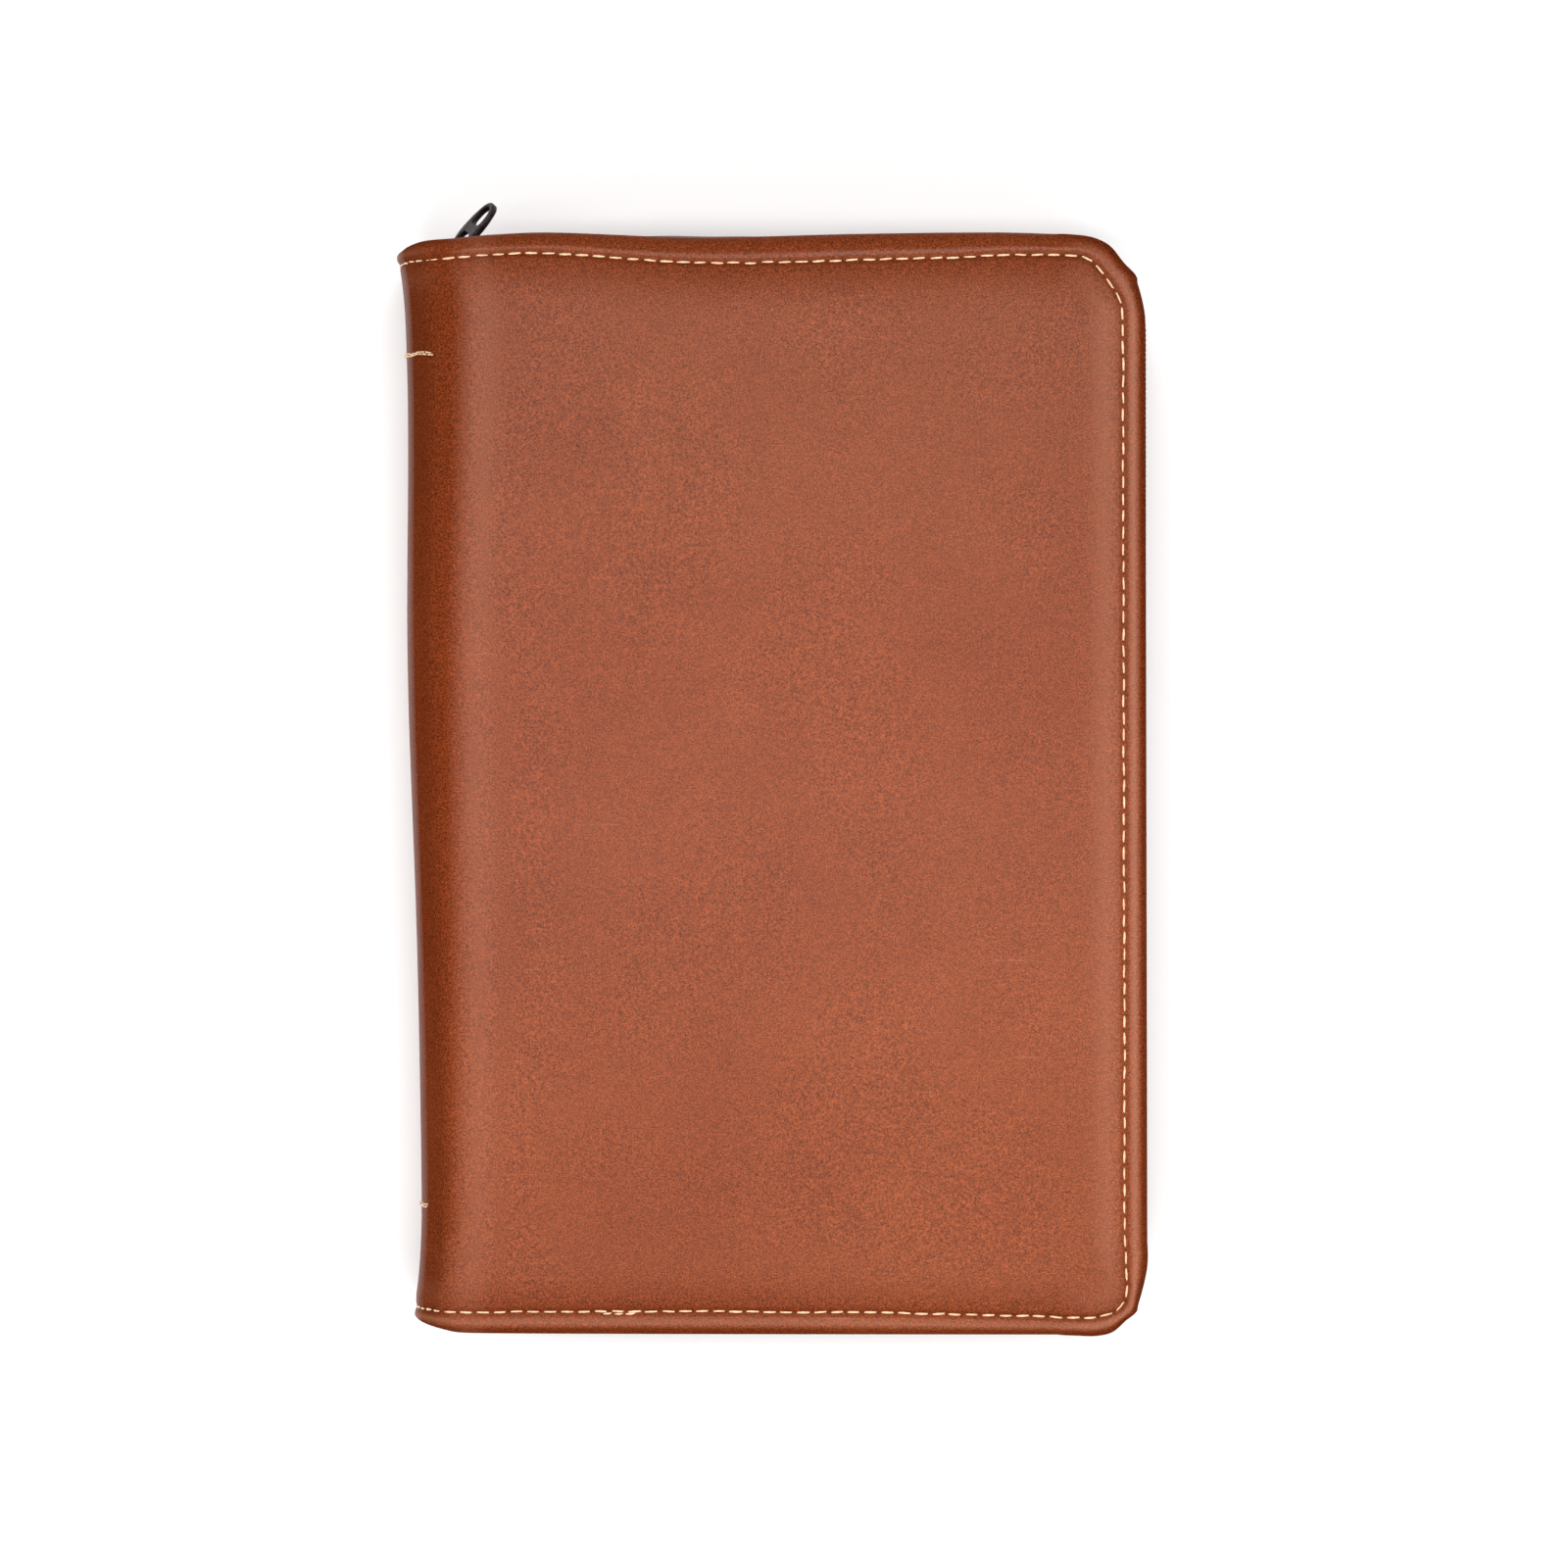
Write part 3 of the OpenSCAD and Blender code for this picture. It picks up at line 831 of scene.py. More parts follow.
class Pile:
    """Many small shapes gathered into one mesh, each with a material number."""

    def __init__(self):
        self.verts, self.faces, self.kinds = [], [], []

    def put(self, verts, faces, kind=0):
        base = len(self.verts)
        self.verts += [tuple(v) for v in verts]
        self.faces += [tuple(base + i for i in f) for f in faces]
        self.kinds += [kind] * len(faces)

    def make(self, name, body, materials, replaces=()):
        obj = new_object(name, self.verts, self.faces, body, materials, replaces)
        obj.data.polygons.foreach_set("material_index", self.kinds)
        return obj


def stitch(pile, a, b, normal, rng, radius):
    """One stitch from hole to hole, proud in the middle."""
    across = (b - a).cross(normal).normalized()
    a = a + across * rng.uniform(-0.14, 0.14)
    b = b + across * rng.uniform(-0.14, 0.14)
    points, radii = [], []
    steps = 11
    deep = 0.35  # how far its ends go into the leather
    high = rng.uniform(0.20, 0.32)
    for k in range(steps + 1):
        t = k / steps
        lift = -deep + (high + deep) * math.sin(math.pi * t) ** 0.45
        points.append(a.lerp(b, t) + normal * lift)
        radii.append(radius * (0.72 + 0.28 * math.sin(math.pi * t) ** 0.6))
    pile.put(*tube(points, radii, 8, twist=1.15, ply=0.10), 0)


def hole(pile, at, normal, along):
    """A needle hole: a small dimple, coloured near black as painted shade."""
    size = 0.30
    side = along.cross(normal).normalized()
    ring, n = [], 10
    for k in range(n):
        th = 2 * math.pi * k / n
        ring.append(at + along * (size * 1.15 * math.cos(th)) + side * (size * 0.8 * math.sin(th))
                    + normal * 0.02)
    verts = ring + [at + normal * 0.10, at - normal * 0.25]
    faces = [(k, (k + 1) % n, n) for k in range(n)] + [((k + 1) % n, k, n + 1) for k in range(n)]
    pile.put(verts, faces, 1)


def run_of_stitches(pile, line, rng, start=0.0, stop=None, pitch=STITCH, gap=0.9, radius=0.24,
                    holes=True):
    """Stitches at a pitch along a line, with a gap between each two and a needle hole in the gap."""
    stop = line.length if stop is None else stop
    s = start
    while s + pitch - gap <= stop:
        a, b = s + rng.uniform(-0.15, 0.15), s + pitch - gap + rng.uniform(-0.15, 0.15)
        pa, pb = line.point(a), line.point(b)
        n = line.normal((a + b) / 2)
        stitch(pile, pa, pb, n, rng, radius * rng.uniform(0.85, 1.12))
        if holes:
            hole(pile, line.point(b + gap / 2), line.normal(b), (pb - pa).normalized())
        s += pitch


THREAD_END_X = -33


def seam(name, front):
    """The topstitching of a cover, from mid-spine at the head round to mid-spine at the tail."""
    rng = random.Random(11 if front else 23)
    flip = 1 if front else -1
    points = [(p.x, p.y, to_z(p.z, front)) for p in SHELL.seam_line()]
    normals = [(n[0], n[1], flip * n[2]) for n in SHELL.normals]
    line = Line(points, normals)
    pile = Pile()
    run_of_stitches(pile, line, rng, start=0.6)
    # the stitches go back over themselves at the tail, where the thread ends
    if front:
        s0 = next(k for k in range(len(line.p)) if line.p[k].x < THREAD_END_X and line.p[k].y < 0)
        span = slice(s0 - 4, s0 + 6)
        back_tack = Line([p + Vector((0, -0.5, 0.1)) for p in line.p[span]], line.n[span])
        run_of_stitches(pile, back_tack, rng, start=0.5, pitch=2.6, gap=0.3, holes=False)
    obj = pile.make(name, None, [THREAD, HOLE_SHADE])
    fold(obj)
    return obj


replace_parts(seam("front_stitching", True), "front_topstitching")
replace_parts(seam("back_stitching", False), "back_topstitching")


def cross_line(y, front):
    """The line of a tack over the spine, from the middle of the spine up to the shoulder."""
    points, normals = [], []
    flip = 1 if front else -1
    for k in range(41):
        u = -1 + k / 40
        x, d = section(u, y, PLATE_D - 0.1)
        points.append((x, y + 0.18 * math.sin(k * 0.33), to_z(d, front)))
        n = outward(u)
        normals.append((n[0], 0, flip * n[1]))
    return Line(points, normals)


def tack(name, node, y, front, reach):
    """Cross stitching over half the spine, sewn there and back, up to a share of the line."""
    rng = random.Random(int(abs(y) * 10) + front)
    pile = Pile()
    line = cross_line(y, front)
    stop = line.length * reach
    run_of_stitches(pile, line, rng, start=0.2, stop=stop, pitch=2.1, gap=0.35, radius=0.18)
    again = Line([p + Vector((0, 0.5, 0)) for p in line.p], line.n)
    run_of_stitches(pile, again, rng, start=1.3, stop=stop * 0.95, pitch=2.4, gap=0.5, radius=0.17,
                    holes=False)
    obj = pile.make(name, None, [THREAD, HOLE_SHADE])
    fold(obj)
    if node:
        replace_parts(obj, node)


tack("head_tack_front", "head_tack_stitches", TACK_Y, True, 0.86)
tack("head_tack_back", None, TACK_Y, False, 0.86)
tack("tail_tack_front", "tail_tack_stitches", -TACK_Y + 1, True, 0.48)
tack("tail_tack_back", None, -TACK_Y + 1, False, 0.48)


# ---- zipper ----

CHAIN_LO, CHAIN_HI = box_mm("zipper_teeth_back")
CHAIN_HALF = 1.1  # half the width of the row of teeth
CHAIN_HEAD_Y = CHAIN_HI.y - CHAIN_HALF
CHAIN_TAIL_Y = CHAIN_LO.y + CHAIN_HALF
CHAIN_FORE_X = CHAIN_HI.x - CHAIN_HALF
TAPE_START = box_mm("zipper_tape_back")[0].x
CHAIN_R = 14.7  # radius of its corners
TOOTH_PITCH = 2.18
TOOTH_SIZE = (1.02, 2.3)
TAPE_T = 0.55
SIDE_STEPS, FORE_CHAIN_STEPS, TURN_STEPS = 100, 140, 24
PROUD = 0.75  # the chain stands this much further out than the frame's, along fore-edge and tail
CORD_R, CORD_D = 0.62, 19.25  # the cord at the tape's edge: its radius and its depth
RIM_OUT, RIM_OUT_HEAD = 0.85, 6.6  # how far the leather's edge is outside the chain
SEWN_IN = 3.3  # the tape is sewn this far inside the leather's edge


def chain_points(start_x, end_x):
    """The chain's line in plan: along the head, round the fore-edge, back along the tail."""
    fore = CHAIN_FORE_X + PROUD
    tail = CHAIN_TAIL_Y - PROUD
    cx, ch, ct = fore - CHAIN_R, CHAIN_HEAD_Y - CHAIN_R, tail + CHAIN_R
    points = [(start_x + (cx - start_x) * k / SIDE_STEPS, CHAIN_HEAD_Y) for k in range(SIDE_STEPS + 1)]
    for k in range(1, TURN_STEPS):
        a = math.pi / 2 * (1 - k / TURN_STEPS)
        points.append((cx + CHAIN_R * math.cos(a), ch + CHAIN_R * math.sin(a)))
    points += [(fore, ch + (ct - ch) * k / FORE_CHAIN_STEPS) for k in range(FORE_CHAIN_STEPS + 1)]
    for k in range(1, TURN_STEPS):
        a = -math.pi / 2 * k / TURN_STEPS
        points.append((cx + CHAIN_R * math.cos(a), ct + CHAIN_R * math.sin(a)))
    for k in range(SIDE_STEPS + 1):
        x = cx + (end_x - cx) * k / SIDE_STEPS
        points.append((x, max(tail, tail_edge(x) + 0.75 + 0.7 * float(smooth((-48 - x) / 16)))))
    return points


def tape(name, node, body, front):
    """A zipper tape from inside the rim down to the teeth, bulging out a little on its way."""
    line = chain_points(TAPE_START + 0.4, TAPE_START + 2.6)
    n = len(line)
    depths = [2.6, 4.5, 6.6, 7.8, 9.0, 10.2, 11.6, 13.0, 14.4, 16.0, 17.8, 19.3]
    rows = []
    for i in range(n):
        p = Vector((*line[i], 0))
        d = Vector((*line[min(i + 1, n - 1)], 0)) - Vector((*line[max(i - 1, 0)], 0))
        out = Vector((-d.y, d.x, 0)).normalized()
        head = 1.0 if i <= SIDE_STEPS else 1 - smooth((i - SIDE_STEPS) / TURN_STEPS)
        inside = RIM_OUT_HEAD * head + RIM_OUT * (1 - head) - SEWN_IN
        bulge = head * 0.9 * smooth((p.x + 70) / 12) * smooth((24 - p.x) / 14)
        wave = 0.10 * math.sin(i * 0.21) + 0.07 * math.sin(i * 0.53 + 1)
        row = []
        for depth in depths:
            reach = inside * (1 - smooth((depth - 7.0) / 9.0))
            reach += (bulge + 2.3 * head) * math.exp(-((depth - 9.6) / 1.9) ** 2)
            row.append(p + out * (reach + wave * smooth((depth - 6) / 4) * smooth((19.5 - depth) / 3)))
        rows.append([(v.x, v.y, depth) for v, depth in zip(row, depths)])
    verts = [(x, y, to_z(d, front)) for row in rows for x, y, d in row]
    w = len(depths)
    faces = [(i * w + j, i * w + j + 1, (i + 1) * w + j + 1, (i + 1) * w + j)
             for i in range(n - 1) for j in range(w - 1)
             if rows[i][j][0] > TAPE_START + 4.5 or rows[i][j][2] > 9.5]
    faces, verts = only_used(faces, verts)
    obj = new_object(name, verts, faces, body, TAPE, (node,))
    thicken(obj, TAPE_T, 0)
    run = Line([(x, y, 0) for x, y in line]).length * MM


tape("front_tape", "zipper_tape_front", "front_half", True)
tape("back_tape", "zipper_tape_back", "back_half", False)


def chamfered(size, cut):
    """A block with its corners and edges taken off: points round the origin, and faces."""
    bm = bmesh.new()
    bmesh.ops.create_cube(bm, size=1)
    for v in bm.verts:
        v.co = Vector((v.co.x * size[0], v.co.y * size[1], v.co.z * size[2]))
    bmesh.ops.bevel(bm, geom=list(bm.edges), offset=cut, segments=2, profile=0.6, affect="EDGES")
    bm.verts.ensure_lookup_table()
    verts = [v.co.copy() for v in bm.verts]
    faces = [tuple(v.index for v in f.verts) for f in bm.faces]
    bm.free()
    return verts, faces


def teeth(name, node, body, front):
    """A moulded row of teeth on the cord at the tape's edge."""
    lo, hi = box_mm(node)
    start = box_mm("zipper_teeth_front")[0].x + 0.6
    line = Line([(x, y, 0) for x, y in chain_points(start, TAPE_START + 3.4)])
    verts, faces = chamfered((*TOOTH_SIZE, hi.z - lo.z), 0.26)
    pile = Pile()
    s = 0.0 if front else TOOTH_PITCH / 2
    while s < line.length:
        p = line.point(s)
        d = (line.point(s + 0.3) - line.point(s - 0.3)).normalized()
        turn = Matrix.Rotation(math.atan2(d.y, d.x), 3, "Z")
        at = Vector((p.x, p.y, (lo.z + hi.z) / 2))
        pile.put([turn @ v + at for v in verts], faces)
        s += TOOTH_PITCH
    # the cord that the teeth grip
    edge = to_z(CORD_D, front)
    cord = [Vector((q.x, q.y, edge)) for q in (line.point(s) for s in np.arange(0, line.length, 1.6))]
    pile.put(*tube(cord, [CORD_R] * len(cord), 8))
    pile.make(name, body, TEETH, (node,))


teeth("front_teeth", "zipper_teeth_front", "front_half", True)
teeth("back_teeth", "zipper_teeth_back", "back_half", False)


def block(lo, hi):
    verts = [(x, y, z) for x in (lo[0], hi[0]) for y in (lo[1], hi[1]) for z in (lo[2], hi[2])]
    return verts, [(0, 1, 3, 2), (4, 6, 7, 5), (0, 4, 5, 1), (2, 3, 7, 6), (0, 2, 6, 4), (1, 5, 7, 3)]


def prism(outline, y0, y1):
    """A plate with an outline in X and Z, from y0 to y1."""
    n = len(outline)
    verts = [(x, y, z) for y in (y0, y1) for x, z in outline]
    faces = [tuple(range(n)), tuple(reversed(range(n, 2 * n)))]
    faces += [(k, n + k, n + (k + 1) % n, (k + 1) % n) for k in range(n)]
    return verts, faces


def slider():
    """Two plates with flanges and a wedge between them, and a bridge on the outer one."""
    lo, hi = box_mm("zipper_slider")
    cx = (lo.x + hi.x) / 2
    pile = Pile()
    half_l, half_w = (hi.x - lo.x) / 2, (hi.z - lo.z) / 2
    shield = []
    for k in range(48):
        a = 2 * math.pi * k / 48
        c, s = math.cos(a), math.sin(a)
        x = math.copysign(abs(c) ** 0.42, c) * half_l
        z = math.copysign(abs(s) ** 0.42, s) * half_w * (0.86 - 0.14 * c)
        shield.append((cx + x, MID + z))
    channel, plate = 1.35, 1.1  # half the space between the plates, and their thickness
    outer, inner = CHAIN_HEAD_Y + channel, CHAIN_HEAD_Y - channel
    for y0, y1 in ((outer, outer + plate), (inner - plate, inner)):
        pile.put(*prism(shield, y0, y1))
    # the flanges, which close in on the chain from both sides
    for z0, z1 in ((MID + half_w - 1.3, MID + half_w - 0.4), (MID - half_w + 0.4, MID - half_w + 1.3)):
        pile.put(*block((lo.x + 1.2, CHAIN_HEAD_Y + 0.6, z0), (hi.x - 1.0, outer + 0.1, z1)))
        pile.put(*block((lo.x + 1.2, inner - 0.1, z0), (hi.x - 1.0, CHAIN_HEAD_Y - 0.6, z1)))
    wedge = [(lo.x + 1.0 + 2 * k / 8, MID + 0.9 * math.sin(math.pi * k / 8)) for k in range(9)]
    wedge += [(lo.x + 1.0 + 2 * k / 8, MID - 0.9 * math.sin(math.pi * k / 8)) for k in range(7, 0, -1)]
    pile.put(*prism(wedge, inner, outer))
    # the bridge, an arched strap
    foot, crown = outer + 0.9, hi.y - 1.5
    arch = []
    for k in range(13):
        a = math.pi * k / 12
        arch.append(Vector((cx - 2.7 * math.cos(a), foot + (crown - foot) * math.sin(a) ** 0.6, MID)))
    verts, faces = tube(arch, [0.55] * len(arch), 10)
    pile.put([(v[0], v[1], MID + (v[2] - MID) * 1.6) for v in verts], faces)
    obj = pile.make("slider_body", "slider", METAL, ("zipper_slider",))
    edges = obj.modifiers.new("edges", "BEVEL")
    edges.width = 0.22 * MM
    edges.segments = 3
    edges.limit_method = "ANGLE"
    edges.angle_limit = math.radians(35)


slider()


def spline_loop(curve, points):
    spline = curve.splines.new("BEZIER")
    spline.bezier_points.add(len(points) - 1)
    for b, (x, y) in zip(spline.bezier_points, points):
        b.co = (x * MM, y * MM, 0)
        b.handle_left_type = b.handle_right_type = "AUTO"
    spline.use_cyclic_u = True


def plate_with_holes(outline, holes, thickness, edge):
    curve = bpy.data.curves.new("pull_outline", "CURVE")
    curve.dimensions = "2D"
    curve.fill_mode = "BOTH"
    curve.resolution_u = 8
    curve.extrude = (thickness / 2 - edge) * MM
    curve.bevel_depth = edge * MM
    curve.bevel_resolution = 3
    curve.offset = -edge * MM
    for loop in [outline] + holes:
        spline_loop(curve, loop)
    temp = in_scene("pull_outline", curve)
    bpy.context.view_layer.update()
    mesh = bpy.data.meshes.new_from_object(temp.evaluated_get(bpy.context.evaluated_depsgraph_get()))
    bpy.data.objects.remove(temp)
    return merged(mesh, 0.004)


def pull():
    """A cast pull: a frame round the bridge, a web and a long eye."""
    pivot = Vector(JOINTS["pull_swing"]["pos_m"])
    tip = 12.8
    half = [(1.5, 2.8), (3.4, 3.3), (5.6, 3.3), (8.0, 3.1), (10.2, 2.55), (tip - 0.8, 1.7)]
    outline = [(-0.55, 0), (-0.3, 1.9)] + half + [(tip, 0)]
    outline += [(x, -y) for x, y in reversed(half)] + [(-0.3, -1.9)]
    eye = [(6.6, 0), (7.0, 1.6), (8.6, 1.85), (10.6, 1.35), (11.6, 0), (10.6, -1.35), (8.6, -1.85),
           (7.0, -1.6)]
    window = [(0.45, 0), (0.6, 1.5), (2.1, 1.75), (3.7, 1.55), (4.05, 0), (3.7, -1.55), (2.1, -1.75),
              (0.6, -1.5)]
    mesh = plate_with_holes(outline, [eye, window], 1.5, 0.34)
    yaw = Matrix.Rotation(math.radians(49), 4, "Z")
    tilt = Matrix.Rotation(math.radians(31), 4, "X")
    stand = Matrix.Rotation(math.radians(90), 4, "X")
    mesh.transform(Matrix.Translation(pivot) @ yaw @ tilt @ stand)
    mesh.polygons.foreach_set("use_smooth", [True] * len(mesh.polygons))
    mesh.materials.append(METAL)
    obj = in_scene("pull_tab", mesh)
    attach(obj, "pull")
    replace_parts(obj, "zipper_pull")


pull()


def stops(name, node, body):
    """The metal stops at both ends of a row of teeth."""
    lo, hi = box_mm(node)
    pile = Pile()
    for x, y in (((lo.x + hi.x) / 2, CHAIN_HEAD_Y), (TAPE_START + 2.2, CHAIN_TAIL_Y + 1.3)):
        verts, faces = chamfered((hi.x - lo.x, 2.0, hi.z - lo.z), 0.22)
        pile.put([v + Vector((x, y, (lo.z + hi.z) / 2)) for v in verts], faces)
    pile.make(name, body, METAL, (node,))


stops("front_stops", "zipper_stops_front", "front_half")
stops("back_stops", "zipper_stops_back", "back_half")


# ---- flat pieces ----

def rounded_outline(x0, x1, y0, y1, near, far, steps=7):
    """A rectangle with corner radius near at x0 and far at x1."""
    points = []
    for cx, cy, r, a0 in ((x1 - far, y1 - far, far, 0), (x0 + near, y1 - near, near, 90),
                          (x0 + near, y0 + near, near, 180), (x1 - far, y0 + far, far, 270)):
        for k in range(steps + 1):
            a = math.radians(a0 + 90 * k / steps)
            points.append((cx + r * math.cos(a), cy + r * math.sin(a)))
    return points


def slab(pile, outline, z0, z1, edge):
    """A flat piece with softened edges."""
    n = len(outline)
    mx = sum(p[0] for p in outline) / n
    my = sum(p[1] for p in outline) / n
    half_x = max(p[0] for p in outline) - mx
    half_y = max(p[1] for p in outline) - my
    rings = []
    for z, inset in ((z0, edge), (z0 + edge * 0.3, edge * 0.3), (z0 + edge, 0), (z1 - edge, 0),
                     (z1 - edge * 0.3, edge * 0.3), (z1, edge)):
        kx, ky = 1 - inset / half_x, 1 - inset / half_y
        rings.append([(mx + (x - mx) * kx, my + (y - my) * ky, z) for x, y in outline])
    pile.put([p for ring in rings for p in ring], closed(len(rings), n))


def sharpen(obj):
    obj.data.set_sharp_from_angle(angle=math.radians(50))


def flat_piece(name, node, body, mat, corners, edge):
    lo, hi = box_mm(node)
    pile = Pile()
    outline = rounded_outline(lo.x, hi.x, lo.y, hi.y, *corners)
    slab(pile, outline, lo.z, hi.z, min(edge, (hi.z - lo.z) * 0.45))
    sharpen(pile.make(name, body, mat, (node,)))


for which, body in (("back", "back_half"), ("front", "front_half")):
    flat_piece(f"{which}_board", f"bible_{which}_board", body, BOOK, (2.5, 8), 0.8)
    flat_piece(f"{which}_endpaper", f"{which}_pastedown", body, ENDPAPER, (1, 7), 0.05)
    flat_piece(f"{which}_stiffening", f"{which}_stiffener", body, CARD, (2, 6), 0.3)


def lining(which, body):
    """Cloth lining, laid over the stiffener, with a soft wave."""
    node = f"{which}_lining"
    lo, hi = box_mm(node)
    verts = []
    nx, ny = 48, 72
    for i in range(nx + 1):
        for j in range(ny + 1):
            x, y = corner_point(lo.x + (hi.x - lo.x) * i / nx, lo.y + (hi.y - lo.y) * j / ny, lo, hi, 12.0)
            z = (lo.z + hi.z) / 2 + 0.05 * noise.noise(Vector((x * 0.08, y * 0.08, 2)))
            verts.append((x, y, z))
    faces = [(a, d, c, b) for a, b, c, d in grid(nx, ny)]
    obj = new_object(f"{which}_lining_cloth", verts, faces, body, LINING, (node,))
    thicken(obj, 0.35, 0)


lining("back", "back_half")
lining("front", "front_half")


def sleeve(which, body, front):
    """The pocket that a board slides into: a leather panel with a hemmed, stitched mouth."""
    node = f"{which}_sleeve"
    lo, hi = box_mm(node)
    inner = lo.z if front else hi.z
    outer = hi.z if front else lo.z
    turn = 1 if front else -1
    nx, ny = 30, 60
    wall = (outer - inner) * turn
    verts = []
    for j in range(ny + 1):
        y = lo.y + (hi.y - lo.y) * j / ny
        for i in range(nx + 1):
            x = lo.x + (hi.x - lo.x) * i / nx
            px, py = corner_point(x, y, lo, hi, 9.0)
            # the three closed sides go down to the lining
            edge = min(hi.x - x, hi.y - y, y - lo.y)
            drop = wall * (1 - smooth(edge / 3.4)) * 0.96
            hem = 0.25 * smooth((3.0 - (x - lo.x)) / 2)
            mouth = 0.28 * math.sin(math.pi * j / ny) * smooth((14 - (x - lo.x)) / 14)
            z = inner + turn * (drop + 0.25) - turn * (hem + mouth) * 0.5
            verts.append((px, py, z))
    faces = flipped(grid(ny, nx)) if front else grid(ny, nx)
    obj = new_object(f"{which}_pocket", verts, faces, body, LEATHER, (node,))
    thicken(obj, 0.5, -1)
    # stitches along the mouth
    rng = random.Random(5 + front)
    line = Line([(lo.x + 4, lo.y + 4 + (hi.y - lo.y - 8) * k / 60, inner + turn * 0.12)
                 for k in range(61)], [(0, 0, -turn)] * 61)
    thread = Pile()
    run_of_stitches(thread, line, rng, start=0.5)
    thread.make(f"{which}_pocket_stitching", body, [THREAD, HOLE_SHADE])


sleeve("back", "back_half", False)
sleeve("front", "front_half", True)


# ---- spine, inside ----

def spine_strip(name, node, mat, layer, thick, half, corner, ribs=()):
    """A strip inside the spine that follows the leather: layer is its distance below the outer
    face, half its half-width. ribs are the heights of raised bands on it."""
    lo, hi = box_mm(node)
    verts = []
    nz, ny = 22, 120
    mid_y = (lo.y + hi.y) / 2
    for j in range(ny + 1):
        y = lo.y + (hi.y - lo.y) * j / ny
        for k in range(nz + 1):
            s = 2 * k / nz - 1
            py, pz = y, MID + half * s
            dy = abs(y - mid_y) - ((hi.y - lo.y) / 2 - corner)
            dz = abs(s) * half - (half - corner)
            if dy > 0 and dz > 0:
                m = max(dy, dz) / math.hypot(dy, dz)
                py = mid_y + math.copysign((hi.y - lo.y) / 2 - corner + dy * m, y - mid_y)
                pz = MID + math.copysign(half - corner + dz * m, s)
            x = max(spine_x(py, pz) + layer, lo.x)
            for rib in ribs:
                x -= 0.35 * math.exp(-((py - rib) / 1.5) ** 2) * smooth((1 - abs(s)) * 5)
            verts.append((min(x, BLOCK_LO.x - 0.45 - thick), py, pz))
    obj = new_object(name, verts, grid(ny, nz), "spine", mat, (node,))
    if sum(p.normal.x for p in obj.data.polygons) > 0:
        obj.data.flip_normals()
    thicken(obj, thick, -1)


BLOCK_LO, BLOCK_HI = box_mm("text_block")
spine_strip("spine_board", "spine_stiffener", CARD, 0.9, 0.5, 8.2, 1.0)
spine_strip("spine_cloth", "spine_lining", LINING, 1.45, 0.25, 8.8, 1.0)
spine_strip("book_spine", "bible_spine", BOOK, 2.15, 0.8, 8.6, 2.0,
            ribs=(-72, -36, 0, 36, 72))
spine_strip("head_tab", "head_zip_tab", LEATHER, 1.72, 0.4, 6.5, 3.0)
spine_strip("tail_tab", "tail_zip_tab", LEATHER, 1.72, 0.4, 6.5, 3.0)


# ---- pages ----

PAGE_R = 7.0  # corner radius
LEAF_GAP = 0.03
GATHERING_GAP = 0.02


def text_block():
    """Gatherings of leaves, each a hair out of line with the next."""
    rng = random.Random(3)
    pile = Pile()
    count = 40
    t = (BLOCK_HI.z - BLOCK_LO.z) / count
    for k in range(count):
        z = BLOCK_LO.z + k * t
        mid = abs(k / (count - 1) - 0.5) * 2
        d = [rng.uniform(0, 0.22) for _ in range(3)]
        hollow = 0.9 * (1 - mid**2)  # the fore-edge is cut hollow
        outline = rounded_outline(BLOCK_LO.x, BLOCK_HI.x - hollow - d[0], BLOCK_LO.y + d[1],
                                  BLOCK_HI.y - d[2], 0.4, PAGE_R)
        slab(pile, outline, z, z + t - GATHERING_GAP, 0.09)
    sharpen(pile.make("page_block", "back_half", PAPER, ("text_block",)))


text_block()


def page_sheet(pile, lo, hi, z0, z1, rng):
    """One leaf or a few, as a thin closed sheet, divided more finely near the spine."""
    xs = [lo.x + (hi.x - lo.x) * (k / 30) ** 1.5 for k in range(31)]
    ys = [lo.y + (hi.y - lo.y) * k / 24 for k in range(25)]
    d = rng.uniform(0, 0.25)
    top, bottom = [], []
    for x in xs:
        for y in ys:
            px, py = corner_point(x, y, lo, hi, PAGE_R)
            px -= d * (px - lo.x) / (hi.x - lo.x)
            top.append((px, py, z1))
            bottom.append((px, py, z0))
    n, w = len(xs), len(ys)
    size = n * w
    verts = top + bottom
    faces = []
    for i in range(n - 1):
        for j in range(w - 1):
            a = i * w + j
            faces.append((a, a + w, a + w + 1, a + 1))
            faces.append((size + a, size + a + 1, size + a + w + 1, size + a + w))
    rim = [i * w for i in range(n)] + [(n - 1) * w + j for j in range(1, w)]
    rim += [i * w + w - 1 for i in range(n - 2, -1, -1)] + [j for j in range(w - 2, 0, -1)]
    for a, b in zip(rim, rim[1:] + rim[:1]):
        faces.append((a, size + a, size + b, b))
    pile.put(verts, faces)


def leaves(n):
    """A group of leaves, as thin sheets divided more finely beside the gutter."""
    rng = random.Random(40 + n)
    lo, hi = box_mm(f"leaves_{n}")
    pile = Pile()
    count = 5
    t = (hi.z - lo.z) / count
    for k in range(count):
        page_sheet(pile, lo, hi, lo.z + k * t, lo.z + (k + 1) * t - LEAF_GAP, rng)
    obj = pile.make(f"turning_leaves_{n}", None, PAPER)
    sharpen(obj)
    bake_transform(obj)
    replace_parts(obj, f"leaves_{n}")


for n in range(1, 5):
    leaves(n)


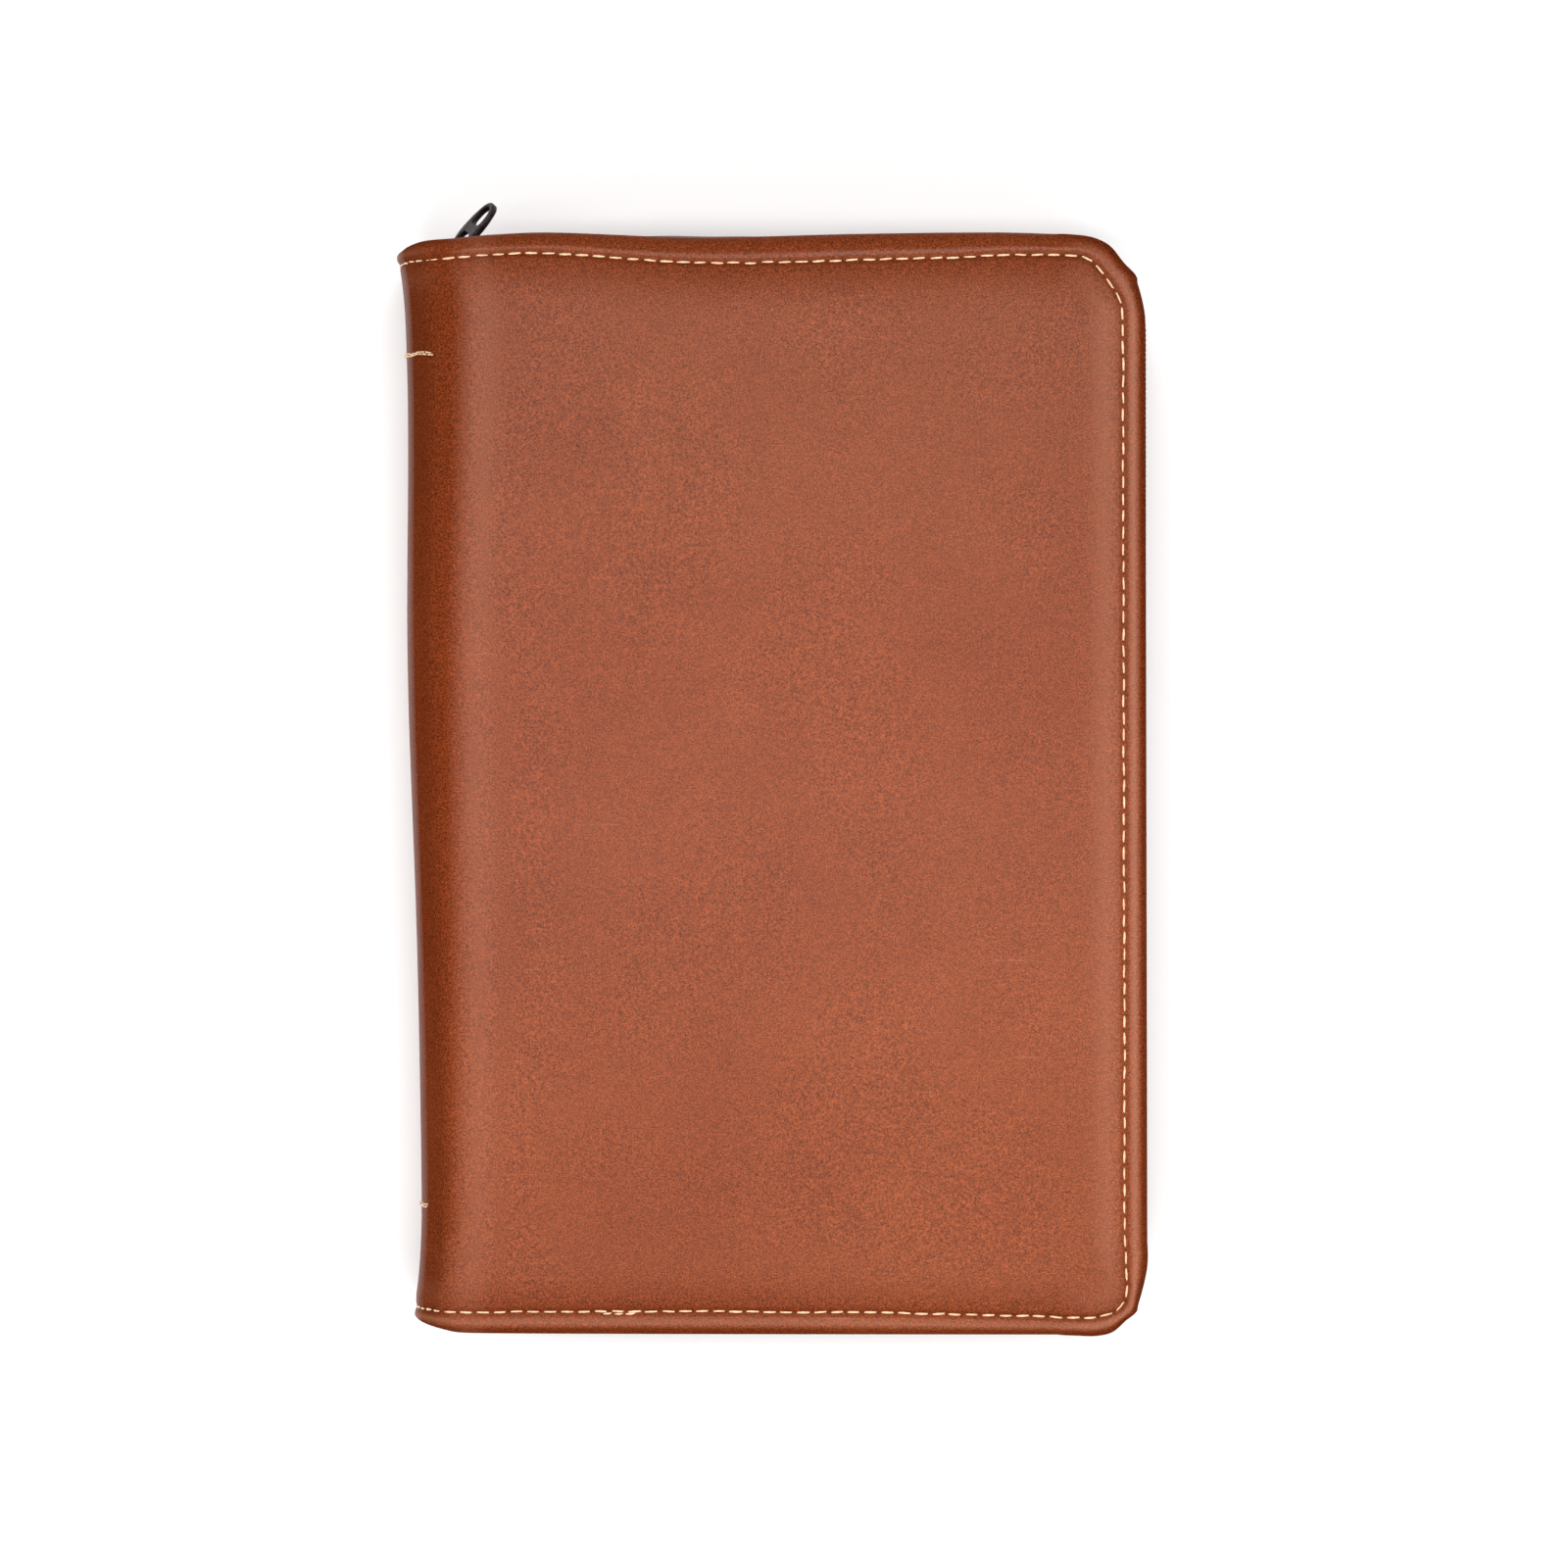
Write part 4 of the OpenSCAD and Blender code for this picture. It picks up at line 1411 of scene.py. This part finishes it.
def mull():
    """The coarse gauze glued over the block's spine."""
    lo, hi = box_mm("spine_mull")
    verts = []
    nz, ny = 12, 80
    for j in range(ny + 1):
        for k in range(nz + 1):
            y = lo.y + (hi.y - lo.y) * j / ny
            z = lo.z + (hi.z - lo.z) * k / nz
            verts.append((lo.x + 0.28 + 0.08 * noise.noise(Vector((0, y * 0.3, z * 0.3))), y, z))
    obj = new_object("spine_gauze", verts, grid(ny, nz), "back_half", MULL, ("spine_mull",))
    thicken(obj, 0.3, 0)


mull()


def end_band(name, node):
    """A woven band over the end of the spine: a cord wound with thread."""
    lo, hi = box_mm(node)
    c = (lo + hi) / 2
    count = 90
    core = [Vector((c.x, c.y, lo.z + (hi.z - lo.z) * k / count)) for k in range(count + 1)]
    cord, winding = 0.74, 0.14
    radii = [cord + winding * abs(math.sin(k * math.pi / 3)) for k in range(count + 1)]
    pile = Pile()
    pile.put(*tube(core, radii, 12))
    pile.make(name, "back_half", BAND, (node,))


end_band("head_end_band", "head_band")
end_band("tail_end_band", "tail_band")


# ---- floor, light and camera ----

def floor():
    s = Surface("studio_floor", Roughness=0.9, Specular_IOR_Level=0.1)
    s.set(Base_Color=s.ramp(s.noise(3, 2, 0.5), (0.3, 0.90), (0.7, 0.92)))
    mesh = bpy.data.meshes.new("floor")
    r = 6.0
    mesh.from_pydata([(-r, -r, 0), (r, -r, 0), (r, r, 0), (-r, r, 0)], [], [(0, 1, 2, 3)])
    mesh.materials.append(s.data)
    obj = in_scene("floor", mesh)
    obj.location.z = -0.0002


def area_light(name, at, size, power, colour):
    """A soft box aimed at the middle of the closed case."""
    data = bpy.data.lights.new(name, "AREA")
    data.shape = "RECTANGLE"
    data.size, data.size_y = size
    data.energy = power
    data.color = colour
    obj = in_scene(name, data)
    obj.location = at
    aim = Vector((0, 0, 0.02)) - Vector(at)
    obj.rotation_euler = aim.to_track_quat("-Z", "Y").to_euler()


def lights():
    area_light("key", (0.1, -0.85, 1.40), (1.5, 0.6), 21, (1.0, 0.99, 0.98))
    area_light("head_box", (0.1, 0.95, 1.35), (1.5, 0.6), 16, (1.0, 0.99, 0.98))
    area_light("left_box", (-0.80, 0.0, 1.30), (0.16, 1.2), 6.5, (1.0, 0.98, 0.96))
    area_light("right_box", (0.90, 0.0, 1.25), (0.25, 1.2), 4.0, (1.0, 0.98, 0.96))
    world = bpy.data.worlds.new("studio")
    world.use_nodes = True
    background = world.node_tree.nodes["Background"]
    background.inputs["Color"].default_value = (0.97, 0.98, 1.0, 1)
    background.inputs["Strength"].default_value = 0.40
    bpy.context.scene.world = world


def camera():
    """Straight above the front cover, from far off, as a product photograph is taken."""
    data = bpy.data.cameras.new("camera")
    obj = in_scene("camera", data)
    distance = 2.4
    field = 0.3488  # width of the view at the front cover
    data.sensor_width = 36
    data.lens = data.sensor_width * distance / field
    data.clip_end = 20
    obj.location = (0.0024, -0.0002, CASE_T * MM + distance)
    bpy.context.scene.camera = obj


floor()
lights()
camera()
bpy.context.scene.view_settings.view_transform = "Standard"
bpy.context.view_layer.update()
